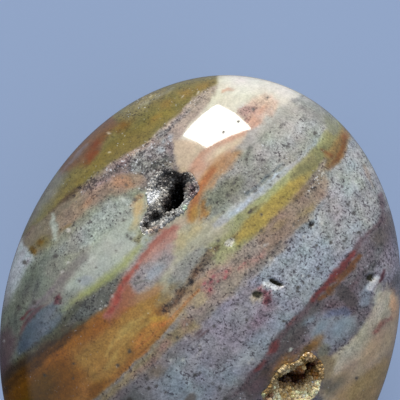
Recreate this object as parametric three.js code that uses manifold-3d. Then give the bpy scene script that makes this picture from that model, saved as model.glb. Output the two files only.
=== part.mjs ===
// A polished ocean jasper palm stone with two crystal-lined hollows.
// Millimetres, +Z up. The stone lies on its back on a small ground flat spot, whose centre is the
// origin. X runs across the stone, Y along it, and the hollows open in the upper face.
import * as THREE from "three";
import { mergeVertices } from "three/addons/utils/BufferGeometryUtils.js";
import Module from "manifold-3d";

// ---- Driving dimensions ----
const WIDTH = 50.8; // along X
const LENGTH = 64; // along Y
const THICKNESS = 32; // along Z, before the flat spot is ground off
const FLAT_DEPTH = 0.5; // ground off the underside
const HAND_RELIEF = 0.03; // share of the radius by which hand polishing leaves the form uneven
const SEAT_GAP = 0.3; // between a hollow's wall and its crust of crystals
const CRUST_THICKNESS = 0.45; // of the crystals' common root
const SKIN_SETBACK = 0.25; // how far a crust stays under the polished skin

// ---- Fineness of the facets ----
const STONE_DETAIL = 9;
const LOBE_DETAIL = 3;
const CRUST_DETAIL = 2;
const PIT_DETAIL = 1;
const CRYSTAL_SIDES = 6;

const HALF = new THREE.Vector3(WIDTH, LENGTH, THICKNESS).multiplyScalar(0.5);
const CENTRE_HEIGHT = HALF.z - FLAT_DEPTH;
const GOLDEN_ANGLE = Math.PI * (3 - Math.sqrt(5));

const wasm = await Module();
wasm.setup();

// ---- Solids ----

/** A closed three.js geometry as a solid that can be joined and cut. */
function solidFrom(geometry) {
  const bare = geometry.clone();
  bare.deleteAttribute("normal");
  bare.deleteAttribute("uv");
  const welded = mergeVertices(bare, 1e-4);
  return new wasm.Manifold(
    new wasm.Mesh({
      numProp: 3,
      vertProperties: welded.attributes.position.array,
      triVerts: new Uint32Array(welded.index.array),
    }),
  );
}

/** A solid as a named mesh with its material. */
function meshFrom(name, solid, material) {
  const { vertProperties, triVerts, numProp } = solid.getMesh();
  const positions = new Float32Array((vertProperties.length / numProp) * 3);
  for (let vertex = 0; vertex * numProp < vertProperties.length; vertex++)
    for (let axis = 0; axis < 3; axis++)
      positions[vertex * 3 + axis] = vertProperties[vertex * numProp + axis];
  const geometry = new THREE.BufferGeometry();
  geometry.setAttribute("position", new THREE.BufferAttribute(positions, 3));
  geometry.setIndex(new THREE.BufferAttribute(new Uint32Array(triVerts), 1));
  geometry.computeVertexNormals();
  const mesh = new THREE.Mesh(geometry, material);
  mesh.name = name;
  return mesh;
}

/** A ball of triangles with every vertex moved by shape(direction), which returns a Vector3. */
function shapedBall(detail, shape) {
  const geometry = new THREE.IcosahedronGeometry(1, detail);
  const position = geometry.attributes.position;
  const direction = new THREE.Vector3();
  for (let i = 0; i < position.count; i++) {
    direction.fromBufferAttribute(position, i).normalize();
    position.setXYZ(i, ...shape(direction).toArray());
  }
  return geometry;
}

// ---- The polished form ----

/** The point of the polished skin in a direction from the stone's middle, set in by some depth. */
function skinPoint({ x, y, z }, setback = 0) {
  const relief = 1 + HAND_RELIEF * x * z * (y + 0.2);
  return new THREE.Vector3(x, y, z)
    .multiplyScalar(relief)
    .multiply(HALF.clone().subScalar(setback))
    .add(new THREE.Vector3(0, 0, CENTRE_HEIGHT));
}

/** Where a vertical line at (x, y) leaves the upper face, and the face's normal there. */
function upperFace(x, y) {
  const rise = Math.sqrt(1 - (x / HALF.x) ** 2 - (y / HALF.y) ** 2);
  return {
    point: new THREE.Vector3(x, y, CENTRE_HEIGHT + HALF.z * rise),
    normal: new THREE.Vector3(x / HALF.x ** 2, y / HALF.y ** 2, rise / HALF.z).normalize(),
  };
}

/** The whole pebble, with nothing taken out of its face, set in by some depth. */
function pebble(setback = 0) {
  const form = solidFrom(shapedBall(STONE_DETAIL, (direction) => skinPoint(direction, setback)));
  const grinder = new THREE.BoxGeometry(WIDTH * 2, LENGTH * 2, THICKNESS);
  grinder.translate(0, 0, -THICKNESS / 2);
  return form.subtract(solidFrom(grinder));
}

// ---- Hollows ----
// A hollow has its own frame at (x, y) on the upper face: its first axis points turn degrees from
// +X along the face, its third axis stands out of the face. Each lobe is a blunt, uneven ball, and
// may be turned about the third axis.
const SMOKY_HOLLOW = {
  x: -8.35,
  y: 14.1,
  turn: 63.5,
  lobes: [
    { at: [-0.1, 1.3, 0.3], radii: [2.95, 2.15, 2.0], turn: 0 },
    { at: [0.2, -0.3, 0.2], radii: [3.8, 2.45, 3.0], turn: 0 },
    { at: [-4.5, -0.6, 0.2], radii: [2.8, 1.5, 1.7], turn: 8 },
    { at: [0.1, -0.3, -4.4], radii: [4.4, 2.9, 4.9], turn: 0 },
  ],
};
const HONEY_HOLLOW = {
  x: 13.75,
  y: -3.35,
  turn: 45.4,
  lobes: [
    { at: [1.0, -0.2, 0.2], radii: [3.1, 2.45, 2.5], turn: 0 },
    { at: [-0.9, -2.3, 0.1], radii: [3.8, 2.1, 1.9], turn: -20 },
    { at: [-2.9, -0.7, 0.1], radii: [2.0, 1.3, 1.5], turn: 30 },
    { at: [0.8, -0.4, -2.6], radii: [3.4, 2.2, 3.2], turn: 0 },
  ],
};
const SMALL_PITS = [
  { x: 7.7, y: 7.5, turn: -5.4, radii: [1.15, 0.5, 0.9] },
  { x: 7.5, y: 6.9, turn: -5.4, radii: [1.2, 0.6, 0.4] },
  { x: 6.15, y: 5.5, turn: 20, radii: [1.0, 0.7, 0.6] },
  { x: 19.65, y: 11.9, turn: 60, radii: [1.0, 0.6, 0.6] },
  { x: 0.75, y: 10.5, turn: 50, radii: [1.0, 0.6, 0.45] },
  { x: 10.05, y: 15.9, turn: 0, radii: [0.4, 0.4, 0.5] },
];

/** The placing matrix of a hollow's own frame. */
function hollowFrame({ x, y, turn }) {
  const { point, normal } = upperFace(x, y);
  const heading = THREE.MathUtils.degToRad(turn);
  const aside = new THREE.Vector3(-Math.sin(heading), Math.cos(heading), 0);
  const first = new THREE.Vector3().crossVectors(aside, normal).normalize();
  const second = new THREE.Vector3().crossVectors(normal, first);
  return new THREE.Matrix4().makeBasis(first, second, normal).setPosition(point);
}

/** A lobe's surface in a direction from its middle, in the hollow's frame, drawn in by some depth. */
function lobePoint({ at, radii, turn }, direction, inset) {
  const swell =
    1 + 0.05 * Math.sin(3 * direction.x + at[0]) * Math.cos(4 * direction.y - 2 * direction.z + at[1]);
  return new THREE.Vector3(...radii)
    .subScalar(inset)
    .multiply(direction)
    .multiplyScalar(swell)
    .applyAxisAngle(new THREE.Vector3(0, 0, 1), THREE.MathUtils.degToRad(turn))
    .add(new THREE.Vector3(...at));
}

/** The space of a hollow as one solid, drawn in by some depth on every side. */
function hollowSpace(hollow, inset = 0, detail = LOBE_DETAIL) {
  const frame = hollowFrame(hollow);
  return hollow.lobes
    .map((lobe) => shapedBall(detail, (direction) => lobePoint(lobe, direction, inset)))
    .map((geometry) => solidFrom(geometry.applyMatrix4(frame)))
    .reduce((space, lobe) => space.add(lobe));
}

/** A small pit with no crystals: half an uneven ball sunk in the face. */
function smallPit(pit) {
  const lobe = { at: [0, 0, 0], radii: pit.radii, turn: 0 };
  const geometry = shapedBall(PIT_DETAIL, (direction) => lobePoint(lobe, direction, 0));
  return solidFrom(geometry.applyMatrix4(hollowFrame(pit)));
}

// ---- Crystals ----

/** A six-sided quartz point along +Z, on a tapered root that sinks into the crust. */
function quartzPoint(radius, height) {
  const profile = [
    [0, -radius],
    [radius, 0],
    [0, height],
  ].map(([x, y]) => new THREE.Vector2(x, y));
  return new THREE.LatheGeometry(profile, CRYSTAL_SIDES).rotateX(Math.PI / 2);
}

/** Crystals that stand on the crust of one lobe, evenly spread and unevenly tilted and sized. */
function crystalsOnLobe(lobe, count, size, inset) {
  const crystals = [];
  for (let i = 0; i < count; i++) {
    const level = 1 - (2 * (i + 0.5)) / count;
    const ring = Math.sqrt(1 - level * level);
    const turn = i * GOLDEN_ANGLE;
    const direction = new THREE.Vector3(ring * Math.cos(turn), ring * Math.sin(turn), level);
    const root = lobePoint(lobe, direction, inset);
    if (root.z > 0) continue;
    const radius = size * (0.75 + 0.35 * Math.sin(i * 2.4));
    const inward = new THREE.Vector3(...lobe.at)
      .sub(root)
      .add(new THREE.Vector3(Math.sin(i * 1.7), Math.cos(i * 2.9), Math.sin(i * 0.9)).multiplyScalar(0.6))
      .normalize();
    const stand = new THREE.Quaternion().setFromUnitVectors(new THREE.Vector3(0, 0, 1), inward);
    crystals.push(
      quartzPoint(radius, radius * (1.7 + 0.5 * Math.cos(i * 3.1)))
        .rotateZ(i)
        .applyQuaternion(stand)
        .translate(...root.toArray()),
    );
  }
  return crystals;
}

/** The crust of crystals that lines a hollow, as one solid. */
function crystalCrust(hollow, crystalsPerLobe, size) {
  const frame = hollowFrame(hollow);
  const room = hollowSpace(hollow, SEAT_GAP, CRUST_DETAIL).intersect(pebble(SKIN_SETBACK));
  const inset = SEAT_GAP + CRUST_THICKNESS;
  const points = hollow.lobes
    .flatMap((lobe, i) => crystalsOnLobe(lobe, crystalsPerLobe[i], size, inset))
    .map((geometry) => solidFrom(geometry.applyMatrix4(frame)))
    .reduce((all, point) => all.add(point));
  const crust = room.subtract(hollowSpace(hollow, inset, CRUST_DETAIL));
  return largestBody(crust.add(points.intersect(room)));
}

/** The largest of the bodies in a solid, without the crumbs that cutting leaves. */
function largestBody(solid) {
  return solid.decompose().reduce((best, body) => (body.volume() > best.volume() ? body : best));
}

// ---- The stone and its finish ----

function polishedStone() {
  const opened = [SMOKY_HOLLOW, HONEY_HOLLOW]
    .map((hollow) => hollowSpace(hollow))
    .concat(SMALL_PITS.map(smallPit))
    .reduce((stone, space) => stone.subtract(space), pebble());
  return largestBody(opened);
}

const jasper = new THREE.MeshStandardMaterial({ color: 0x9c978d, roughness: 0.14, metalness: 0 });
const smokyQuartz = new THREE.MeshStandardMaterial({ color: 0x8d8a86, roughness: 0.3, metalness: 0 });
const honeyQuartz = new THREE.MeshStandardMaterial({ color: 0xb08a4c, roughness: 0.3, metalness: 0 });

const palmStone = new THREE.Group();
palmStone.add(
  meshFrom("stone", polishedStone(), jasper),
  meshFrom("smoky_crystal_crust", crystalCrust(SMOKY_HOLLOW, [31, 15, 14, 30], 0.56), smokyQuartz),
  meshFrom("honey_crystal_crust", crystalCrust(HONEY_HOLLOW, [26, 19, 12, 22], 0.54), honeyQuartz),
);

export default palmStone;
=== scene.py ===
"""Dresses the ocean jasper palm stone: its banded polished skin, its two crystal hollows and the
pale studio that it lies in.

Lengths in the code are millimetres, in the stone's own frame: X across the stone, Y along it and
Z up from the ground flat spot. They become metres when a mesh or the camera is made.
"""

from __future__ import annotations

import logging
import math
from dataclasses import dataclass, field
from enum import Enum
from typing import Any, Sequence

import bpy
import numpy as np
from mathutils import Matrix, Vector

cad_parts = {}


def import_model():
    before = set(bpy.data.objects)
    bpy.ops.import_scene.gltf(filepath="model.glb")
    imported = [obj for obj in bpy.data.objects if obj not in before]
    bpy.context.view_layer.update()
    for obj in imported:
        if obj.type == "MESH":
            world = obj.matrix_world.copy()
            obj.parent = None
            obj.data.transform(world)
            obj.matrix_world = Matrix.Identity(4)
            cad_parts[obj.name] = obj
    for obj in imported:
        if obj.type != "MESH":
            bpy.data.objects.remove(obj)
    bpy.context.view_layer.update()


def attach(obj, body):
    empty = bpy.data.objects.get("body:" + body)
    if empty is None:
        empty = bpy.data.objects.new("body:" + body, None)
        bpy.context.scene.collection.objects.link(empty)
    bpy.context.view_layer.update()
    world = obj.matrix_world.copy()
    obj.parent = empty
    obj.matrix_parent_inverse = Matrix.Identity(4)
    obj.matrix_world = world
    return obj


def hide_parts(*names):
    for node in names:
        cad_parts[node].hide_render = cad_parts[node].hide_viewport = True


LOG = logging.getLogger("palm_stone")
METRE = 0.001
Array = np.ndarray
Outline = Sequence[tuple[float, float]]
Colour = tuple[float, float, float, float]

# ---- Numbers ----

AXIS_PRIMES = (73856093, 19349663, 83492791)
LOW_BITS = 0x7FFFFFFF
CLOUD_GAIN = 1.4
CLOUD_SHIFT = 7.31


def smooth_step(low: float | Array, high: float | Array, value: Array) -> Array:
    """Rise from 0 at low to 1 at high along the cubic 3x^2 - 2x^3, flat beyond both.

    Args:
        low: Where the rise starts.
        high: Where the rise ends.
        value: The numbers to map.

    Returns:
        The risen shares, from 0 to 1.
    """
    share = np.clip((value - low) / (high - low), 0.0, 1.0)
    return share * share * (3.0 - 2.0 * share)


def lattice_numbers(cells: Array, seed: int) -> Array:
    """Give each whole-number lattice point its own number from 0 to 1, by mixing its bits.

    Args:
        cells: Lattice points, one row of whole numbers each.
        seed: Which set of numbers to draw.

    Returns:
        One number for each point.
    """
    mixed = np.full(cells.shape[:-1], seed * 374761393 + 668265263, dtype=np.int64)
    for axis, prime in enumerate(AXIS_PRIMES[: cells.shape[-1]]):
        mixed = (mixed ^ (cells[..., axis] * prime)) & LOW_BITS
        mixed = (mixed * 1103515245 + 12345) & LOW_BITS
        mixed ^= mixed >> 15
    mixed = (mixed * 1274126177) & LOW_BITS
    return (mixed ^ (mixed >> 16)) / float(LOW_BITS)


def cloud(points: Array, period: float, seed: int, octaves: int = 2) -> Array:
    """Smooth noise from about -1 to 1: lattice numbers blended by the cubic step, in octaves.

    Args:
        points: Places, one row each, in millimetres.
        period: Size of the largest lattice cell, in millimetres.
        seed: Which noise to draw.
        octaves: How many layers, each half as large and half as strong as the last.

    Returns:
        One number for each place.
    """
    total = np.zeros(len(points))
    strength, reach = 1.0, 0.0
    for octave in range(octaves):
        place = points / period * 2**octave + seed * CLOUD_SHIFT
        cell = np.floor(place).astype(np.int64)
        share = smooth_step(0.0, 1.0, place - cell)
        layer = np.zeros(len(points))
        for corner in np.ndindex(*(2,) * points.shape[1]):
            offset = np.array(corner)
            weight = np.prod(np.where(offset, share, 1.0 - share), axis=1)
            layer += weight * lattice_numbers(cell + offset, seed + octave)
        total += strength * (2.0 * layer - 1.0)
        reach += strength
        strength *= 0.5
    return total / reach * CLOUD_GAIN


@dataclass(frozen=True)
class Noise:
    """A layer of clouds: its strength, its period in millimetres and its seed."""

    strength: float
    period: float
    seed: int

    def at(self, points: Array) -> Array:
        """The layer's value at each point."""
        return self.strength * cloud(points, self.period, self.seed)


def inside_depth(points: Array, outline: Array) -> Array:
    """Distance from each point to a closed outline, positive inside and negative outside.

    The distance is the least one to the outline's edges, and a point is inside where a line from
    it crosses the outline an odd number of times.

    Args:
        points: Places in the plane, one row each.
        outline: The outline's corners, in order.

    Returns:
        The signed distances.
    """
    start, end = outline, np.roll(outline, -1, axis=0)
    edge = end - start
    away = points[:, None, :] - start[None]
    along = np.clip((away * edge).sum(-1) / (edge * edge).sum(-1), 0.0, 1.0)
    distance = np.linalg.norm(away - along[..., None] * edge, axis=-1).min(axis=1)
    above = (start[:, 1] > points[:, None, 1]) != (end[:, 1] > points[:, None, 1])
    rise = np.where(edge[:, 1] == 0.0, 1.0, edge[:, 1])
    crossing = start[:, 0] + (points[:, None, 1] - start[:, 1]) * edge[:, 0] / rise
    inside = (above & (points[:, None, 0] < crossing)).sum(axis=1) % 2 == 1
    return np.where(inside, distance, -distance)


def rounded(corners: Array, steps: int = 6) -> Array:
    """Round a closed outline off: a cubic Catmull-Rom curve through its corners.

    Args:
        corners: The outline's corners, in order.
        steps: Points on the curve for each corner.

    Returns:
        The curve's points.
    """
    before, after, last = (np.roll(corners, shift, 0) for shift in (1, -1, -2))
    share = (np.arange(steps) / steps)[None, :, None]
    k0, k1, k2, k3 = (knots[:, None, :] for knots in (before, corners, after, last))
    curve = 0.5 * (
        2 * k1
        + (k2 - k0) * share
        + (2 * k0 - 5 * k1 + 4 * k2 - k3) * share**2
        + (3 * k1 - k0 - 3 * k2 + k3) * share**3
    )
    return curve.reshape(-1, corners.shape[1])


# ---- Colours ----


class Tone(Enum):
    """The stone's colours, as red, green and blue levels from 0 to 255."""

    # Greys, from black to white.
    INK = (30, 20, 15)
    SOOT = (40, 35, 30)
    SHADOW = (60, 55, 50)
    CHARCOAL = (75, 75, 70)
    IRON = (90, 85, 80)
    LEAD = (110, 110, 105)
    WARM_GREY = (120, 115, 110)
    ASH = (125, 125, 120)
    STONE_GREY = (135, 130, 130)
    LAVENDER_GREY = (145, 140, 145)
    STEEL = (145, 150, 150)
    PEWTER = (150, 155, 160)
    PEARL = (155, 155, 150)
    DOVE = (165, 160, 150)
    CLOUD = (165, 165, 160)
    MOON = (165, 170, 170)
    SILVER = (175, 180, 180)
    BONE = (200, 195, 185)
    SHELL = (215, 210, 200)
    SNOW = (235, 235, 230)
    FROST = (245, 245, 225)
    # Blues and violets.
    SLATE = (80, 90, 95)
    DEEP_SLATE = (70, 80, 90)
    INDIGO = (100, 105, 125)
    BLUE_GREY = (105, 110, 115)
    LILAC = (155, 160, 165)
    HAZE_BLUE = (140, 155, 160)
    ICE = (170, 180, 190)
    VIOLET_GREY = (105, 95, 95)
    DUSTY_LILAC = (150, 140, 135)
    ORCHID = (160, 150, 155)
    # Greens.
    DARK_OLIVE = (65, 60, 40)
    OLIVE_DRAB = (80, 80, 60)
    BRONZE_GREEN = (105, 95, 50)
    SAGE_GREY = (135, 135, 125)
    MOSS_GREY = (95, 95, 85)
    OLIVE = (110, 100, 60)
    YELLOW_OLIVE = (110, 95, 40)
    SAGE = (120, 120, 100)
    GREEN_GREY = (110, 115, 100)
    MINT_GREY = (125, 120, 110)
    PALE_SAGE = (130, 130, 110)
    CELADON = (145, 150, 140)
    MINT = (160, 165, 150)
    PALE_MINT = (170, 175, 160)
    LIME = (150, 150, 105)
    LIME_GREEN = (150, 155, 90)
    PISTACHIO = (175, 175, 130)
    GREEN_GLINT = (200, 220, 190)
    # Creams and straws.
    CREAM = (190, 185, 165)
    MILK = (180, 170, 155)
    BUTTER = (175, 160, 120)
    WHEAT = (180, 160, 135)
    LICHEN_CREAM = (165, 160, 135)
    STRAW = (180, 150, 80)
    SAND = (165, 150, 120)
    IVORY = (230, 210, 165)
    LEMON = (245, 230, 160)
    PALE_CREAM = (245, 220, 170)
    # Yellows and oranges.
    GOLD = (155, 135, 65)
    BRIGHT_GOLD = (185, 145, 55)
    DARK_GOLD = (125, 100, 45)
    OLD_GOLD = (150, 120, 70)
    OCHRE = (160, 120, 55)
    KHAKI = (150, 130, 90)
    KHAKI_GREEN = (120, 115, 75)
    AMBER = (180, 125, 55)
    ORANGE = (150, 100, 40)
    GLOW = (185, 110, 50)
    TAWNY = (140, 85, 20)
    RUSTY_ORANGE = (150, 90, 50)
    BURNT = (115, 70, 5)
    OLIVE_BROWN = (95, 65, 10)
    SEPIA = (80, 50, 10)
    MAHOGANY = (105, 50, 10)
    SALMON = (185, 160, 140)
    APRICOT = (165, 125, 85)
    PEACH = (220, 185, 140)
    LIGHT_ORANGE = (235, 180, 130)
    PALE_OCHRE = (190, 155, 100)
    HONEY = (205, 170, 105)
    FAWN = (200, 170, 135)
    LINEN = (195, 180, 150)
    STONE_WHITE = (215, 200, 175)
    # Browns.
    BROWN_BLACK = (50, 20, 5)
    DARK_BROWN = (60, 45, 30)
    UMBER = (80, 70, 65)
    BRONZE = (100, 80, 45)
    RUSSET = (100, 70, 45)
    COPPER = (135, 90, 60)
    CHESTNUT = (110, 65, 25)
    RED_BROWN = (90, 40, 15)
    TAUPE = (100, 90, 80)
    DRAB = (115, 100, 80)
    AMBER_BROWN = (130, 105, 60)
    KHAKI_GREY = (120, 110, 90)
    FALLOW = (135, 115, 95)
    TAN = (150, 115, 85)
    BEIGE = (145, 130, 115)
    BISCUIT = (170, 155, 130)
    PALE_TAN = (165, 135, 95)
    # Pinks and reds.
    MAUVE = (125, 110, 105)
    PLUM_GREY = (115, 105, 105)
    PINK_GREY = (140, 120, 130)
    ROSE_TAUPE = (150, 135, 120)
    ROSE_GREY = (145, 110, 100)
    ROSE = (180, 150, 130)
    ROSY_LILAC = (160, 135, 130)
    PINK = (170, 125, 110)
    CORAL = (175, 135, 110)
    EMBER = (150, 95, 65)
    BRICK = (155, 95, 80)
    SCARLET = (150, 60, 45)
    CHERRY = (160, 75, 80)
    ROSE_RED = (155, 95, 100)
    GARNET = (110, 45, 40)
    WINE = (95, 60, 60)
    DARK_WINE = (85, 35, 40)
    PLUM = (95, 75, 75)


def tint(tone: Tone) -> Array:
    """A tone's three display shares, from 0 to 1."""
    return np.array(tone.value) / 255.0


def to_linear(shares: Array) -> Array:
    """Turn display shares into light: a power of 2.4 with a straight foot near black."""
    shares = np.clip(shares, 0.0, 1.0)
    return np.where(shares < 0.04045, shares / 12.92, ((shares + 0.055) / 1.055) ** 2.4)


# ---- Node trees ----

# A colour Mix node has many sockets: these are the factor, the two colours and the result.
MIX_SHARE, MIX_FIRST, MIX_SECOND, MIX_RESULT = 0, 6, 7, 2


@dataclass
class Wire:
    """A node's output on which Python's arithmetic adds Math nodes."""

    shop: "NodeShop"
    socket: bpy.types.NodeSocket

    def __add__(self, other: "Wire | float") -> "Wire":
        """Add."""
        return self.shop.math("ADD", self, other)

    def __sub__(self, other: "Wire | float") -> "Wire":
        """Take away."""
        return self.shop.math("SUBTRACT", self, other)

    def __rsub__(self, other: float) -> "Wire":
        """Take this from a number."""
        return self.shop.math("SUBTRACT", other, self)

    def __mul__(self, other: "Wire | float") -> "Wire":
        """Multiply."""
        return self.shop.math("MULTIPLY", self, other)

    def __lt__(self, other: "Wire | float") -> "Wire":
        """1 where this is less than the other, else 0."""
        return self.shop.math("LESS_THAN", self, other)

    __radd__ = __add__
    __rmul__ = __mul__

    def clamped(self) -> "Wire":
        """The value held from 0 to 1."""
        return self.shop.math("ADD", self, 0.0, clamp=True)

    def part(self, number: int) -> "Wire":
        """One of a colour's three shares."""
        return self.shop.node("ShaderNodeSeparateColor", {}, {"Color": self}, number)


@dataclass
class NodeShop:
    """Makes the nodes of one material or world."""

    tree: bpy.types.NodeTree

    @classmethod
    def for_material(cls, name: str) -> "tuple[bpy.types.Material, NodeShop]":
        """Start a material with an empty node tree.

        Args:
            name: The material's name.

        Returns:
            The material and its shop.
        """
        material = bpy.data.materials.new(name)
        material.use_nodes = True
        material.node_tree.nodes.clear()
        return material, cls(material.node_tree)

    def node(
        self,
        kind: str,
        settings: dict[str, Any],
        inputs: dict[str | int, Any],
        output: int | str = 0,
    ) -> Wire | None:
        """Add a node.

        Args:
            kind: The node's type.
            settings: Its own settings, set first.
            inputs: Values or wires for its sockets, by name or number.
            output: Which output to hand back, by name or number.

        Returns:
            The wanted output, or none where the node has no outputs.
        """
        made = self.tree.nodes.new(kind)
        for name, value in settings.items():
            setattr(made, name, value)
        for key, value in inputs.items():
            if isinstance(value, Wire):
                self.tree.links.new(value.socket, made.inputs[key])
            else:
                made.inputs[key].default_value = value
        return Wire(self, made.outputs[output]) if len(made.outputs) else None

    def math(self, operation: str, *values: Wire | float, clamp: bool = False) -> Wire:
        """Add a Math node for an operation on values."""
        settings = {"operation": operation, "use_clamp": clamp}
        return self.node("ShaderNodeMath", settings, dict(enumerate(values)))

    def vector(self, operation: str, inputs: dict[str | int, Any], output: int | str = 0) -> Wire:
        """Add a Vector Math node for an operation on vectors."""
        return self.node("ShaderNodeVectorMath", {"operation": operation}, inputs, output)

    def mix(self, share: Wire | float, first: Any, second: Any, blend: str = "MIX") -> Wire:
        """Blend two colours.

        Args:
            share: How much of the second is taken.
            first: The first colour.
            second: The second colour.
            blend: The kind of blend.

        Returns:
            The blended colour.
        """
        settings = {"data_type": "RGBA", "blend_type": blend}
        inputs = {MIX_SHARE: share, MIX_FIRST: first, MIX_SECOND: second}
        return self.node("ShaderNodeMix", settings, inputs, MIX_RESULT)

    def grey(self, value: Wire) -> Wire:
        """A grey colour of a value."""
        inputs = {"Red": value, "Green": value, "Blue": value}
        return self.node("ShaderNodeCombineColor", {}, inputs)

    def attribute(self, name: str) -> Wire:
        """The colour attribute of a name."""
        return self.node("ShaderNodeAttribute", {"attribute_name": name}, {})

    def place(self) -> Wire:
        """Object coordinates in millimetres."""
        metres = self.node("ShaderNodeTexCoord", {}, {}, "Object")
        return self.vector("SCALE", {0: metres, "Scale": 1.0 / METRE})

    def shifted(self, place: Wire, by: float) -> Wire:
        """Coordinates moved along each axis, so that one noise gives another pattern."""
        return self.vector("ADD", {0: place, 1: (by, by, by)})

    def noise(self, place: Wire, period: float, detail: float) -> Wire:
        """Smooth noise from 0 to 1 with features of a period in millimetres."""
        inputs = {"Vector": place, "Scale": 1.0 / period, "Detail": detail, "Roughness": 0.6}
        return self.node("ShaderNodeTexNoise", {}, inputs)

    def dots(self, place: Wire, cell: float, radius: float, share: Wire | float) -> Wire:
        """Round dots of uneven size, one in each of a share of the cells of a Voronoi pattern.

        The smallest have 0.3 of the largest radius, and each fades over a third of the largest.

        Args:
            place: Coordinates in millimetres.
            cell: The cells' size in millimetres.
            radius: The largest radius in millimetres.
            share: The share of cells that have a dot.

        Returns:
            1 in a dot and 0 elsewhere.
        """
        voronoi = self.node("ShaderNodeTexVoronoi", {}, {"Vector": place, "Scale": 1.0 / cell})
        chance = Wire(self, voronoi.socket.node.outputs["Color"])
        size = (chance.part(1) * 0.7 + 0.3) * (radius / cell)
        edge = ((size - voronoi) * (3.0 * cell / radius)).clamped()
        return edge * (chance.part(0) < share)

    def finish(self, surface: Wire) -> None:
        """Connect the surface shader to the material's output."""
        self.node("ShaderNodeOutputMaterial", {}, {"Surface": surface})


# ---- The frame of the bands ----

# The bands are laid out in a frame of their own on the plan of the stone: s runs along them and
# t across them, both from the stone's middle, and s lies BAND_TURN degrees from +X.
BAND_TURN = 55.78


def turned(points: Array, degrees: float) -> Array:
    """Turn points about the origin.

    Args:
        points: Places, one row each. Only the first two columns are used.
        degrees: By how much.

    Returns:
        The two turned coordinates of each.
    """
    turn = math.radians(degrees)
    x, y = points[:, 0], points[:, 1]
    first = x * math.cos(turn) - y * math.sin(turn)
    return np.stack([first, x * math.sin(turn) + y * math.cos(turn)], axis=1)


# ---- Form ----


@dataclass(frozen=True)
class Pebble:
    """The polished form: an ellipsoid with a flat spot ground off underneath."""

    half_width: float = 25.4
    half_length: float = 32.0
    half_thickness: float = 16.0
    centre_height: float = 15.5
    hand_relief: float = 0.03

    @property
    def halves(self) -> Array:
        """The three half axes."""
        return np.array([self.half_width, self.half_length, self.half_thickness])

    def skin(self, direction: Array) -> Array:
        """Points of the skin in unit directions from the stone's middle.

        Each half axis times the direction, times the unevenness 1 + relief x z (y + 0.2).

        Args:
            direction: Unit vectors, one row each.

        Returns:
            The points.
        """
        x, y, z = direction.T
        uneven = 1.0 + self.hand_relief * x * z * (y + 0.2)
        point = direction * uneven[:, None] * self.halves
        point[:, 2] += self.centre_height
        return point

    def normals(self, points: Array) -> Array:
        """Unit normals of the ellipsoid at points of its skin."""
        slope = (points - [0.0, 0.0, self.centre_height]) / self.halves**2
        return slope / np.linalg.norm(slope, axis=1, keepdims=True)

    def height(self, x: Array, y: Array) -> Array:
        """Height of the upper face above (x, y): the equator's height outside the outline."""
        room = 1.0 - (x / self.half_width) ** 2 - (y / self.half_length) ** 2
        return self.centre_height + self.half_thickness * np.sqrt(np.clip(room, 0.0, None))


@dataclass(frozen=True)
class Recess:
    """A deeper part of a hollow's floor: its outline, its depth and the run of its wall."""

    outline: Outline
    depth: float
    slope: float


@dataclass(frozen=True)
class Hollow:
    """A hollow's own frame on the upper face, the outline of its mouth and its recesses.

    The frame's first axis points turn degrees from +X along the face, and its third axis stands
    out of the face. Outlines are in band coordinates and wander by rim. dish_depth is the depth
    of the floor round the recesses, which is uneven by bumps, and wall the run of the wall above
    it. A recess falls from recess_lead outside its outline, clear of the mouth by recess_gap.
    """

    x: float
    y: float
    turn: float
    mouth: Outline
    recesses: tuple[Recess, ...]
    dish_depth: float
    wall: float
    rim: tuple[Noise, ...] = (Noise(0.16, 1.6, 5), Noise(0.10, 0.5, 8))
    bumps: Noise = Noise(0.25, 2.0, 14)
    recess_lead: float = 0.35
    recess_gap: float = 0.5

    def axes(self, pebble: Pebble) -> tuple[Array, Array]:
        """The hollow's frame on a pebble.

        Args:
            pebble: The form that it lies in.

        Returns:
            The frame's origin, and its three axes as rows.
        """
        origin = np.array([self.x, self.y, float(pebble.height(self.x, self.y))])
        out = pebble.normals(origin[None])[0]
        turn = math.radians(self.turn)
        first = np.cross([-math.sin(turn), math.cos(turn), 0.0], out)
        first /= np.linalg.norm(first)
        return origin, np.array([first, np.cross(out, first), out])

    def ring(self, pebble: Pebble, outline: Outline) -> Array:
        """An outline lifted from the plan to the face, seen in the frame's plane and rounded off.

        Args:
            pebble: The form that the hollow lies in.
            outline: The corners, in band coordinates.

        Returns:
            The curve's points in the plane of the first two axes.
        """
        x, y = turned(np.array(outline), BAND_TURN).T
        lifted = np.column_stack([x, y, pebble.height(x, y)])
        origin, axes = self.axes(pebble)
        return rounded((lifted - origin) @ axes[:2].T)

    def depth(self, pebble: Pebble, local: Array) -> Array:
        """How far the hollow's wall lies below the skin: the dish's depth and each recess's.

        Args:
            pebble: The form that the hollow lies in.
            local: Points of the frame's plane, one row each.

        Returns:
            The depths.
        """
        wander = sum(noise.at(local) for noise in self.rim)
        dish = inside_depth(local, self.ring(pebble, self.mouth)) + wander
        floor = self.dish_depth * (1.0 + self.bumps.at(local))
        depth = floor * smooth_step(0.0, self.wall, dish)
        open_part = smooth_step(0.0, self.recess_gap, dish)
        for recess in self.recesses:
            within = inside_depth(local, self.ring(pebble, recess.outline)) + wander
            fall = smooth_step(-self.recess_lead, recess.slope, within)
            depth += recess.depth * fall * open_part
        return depth


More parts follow.
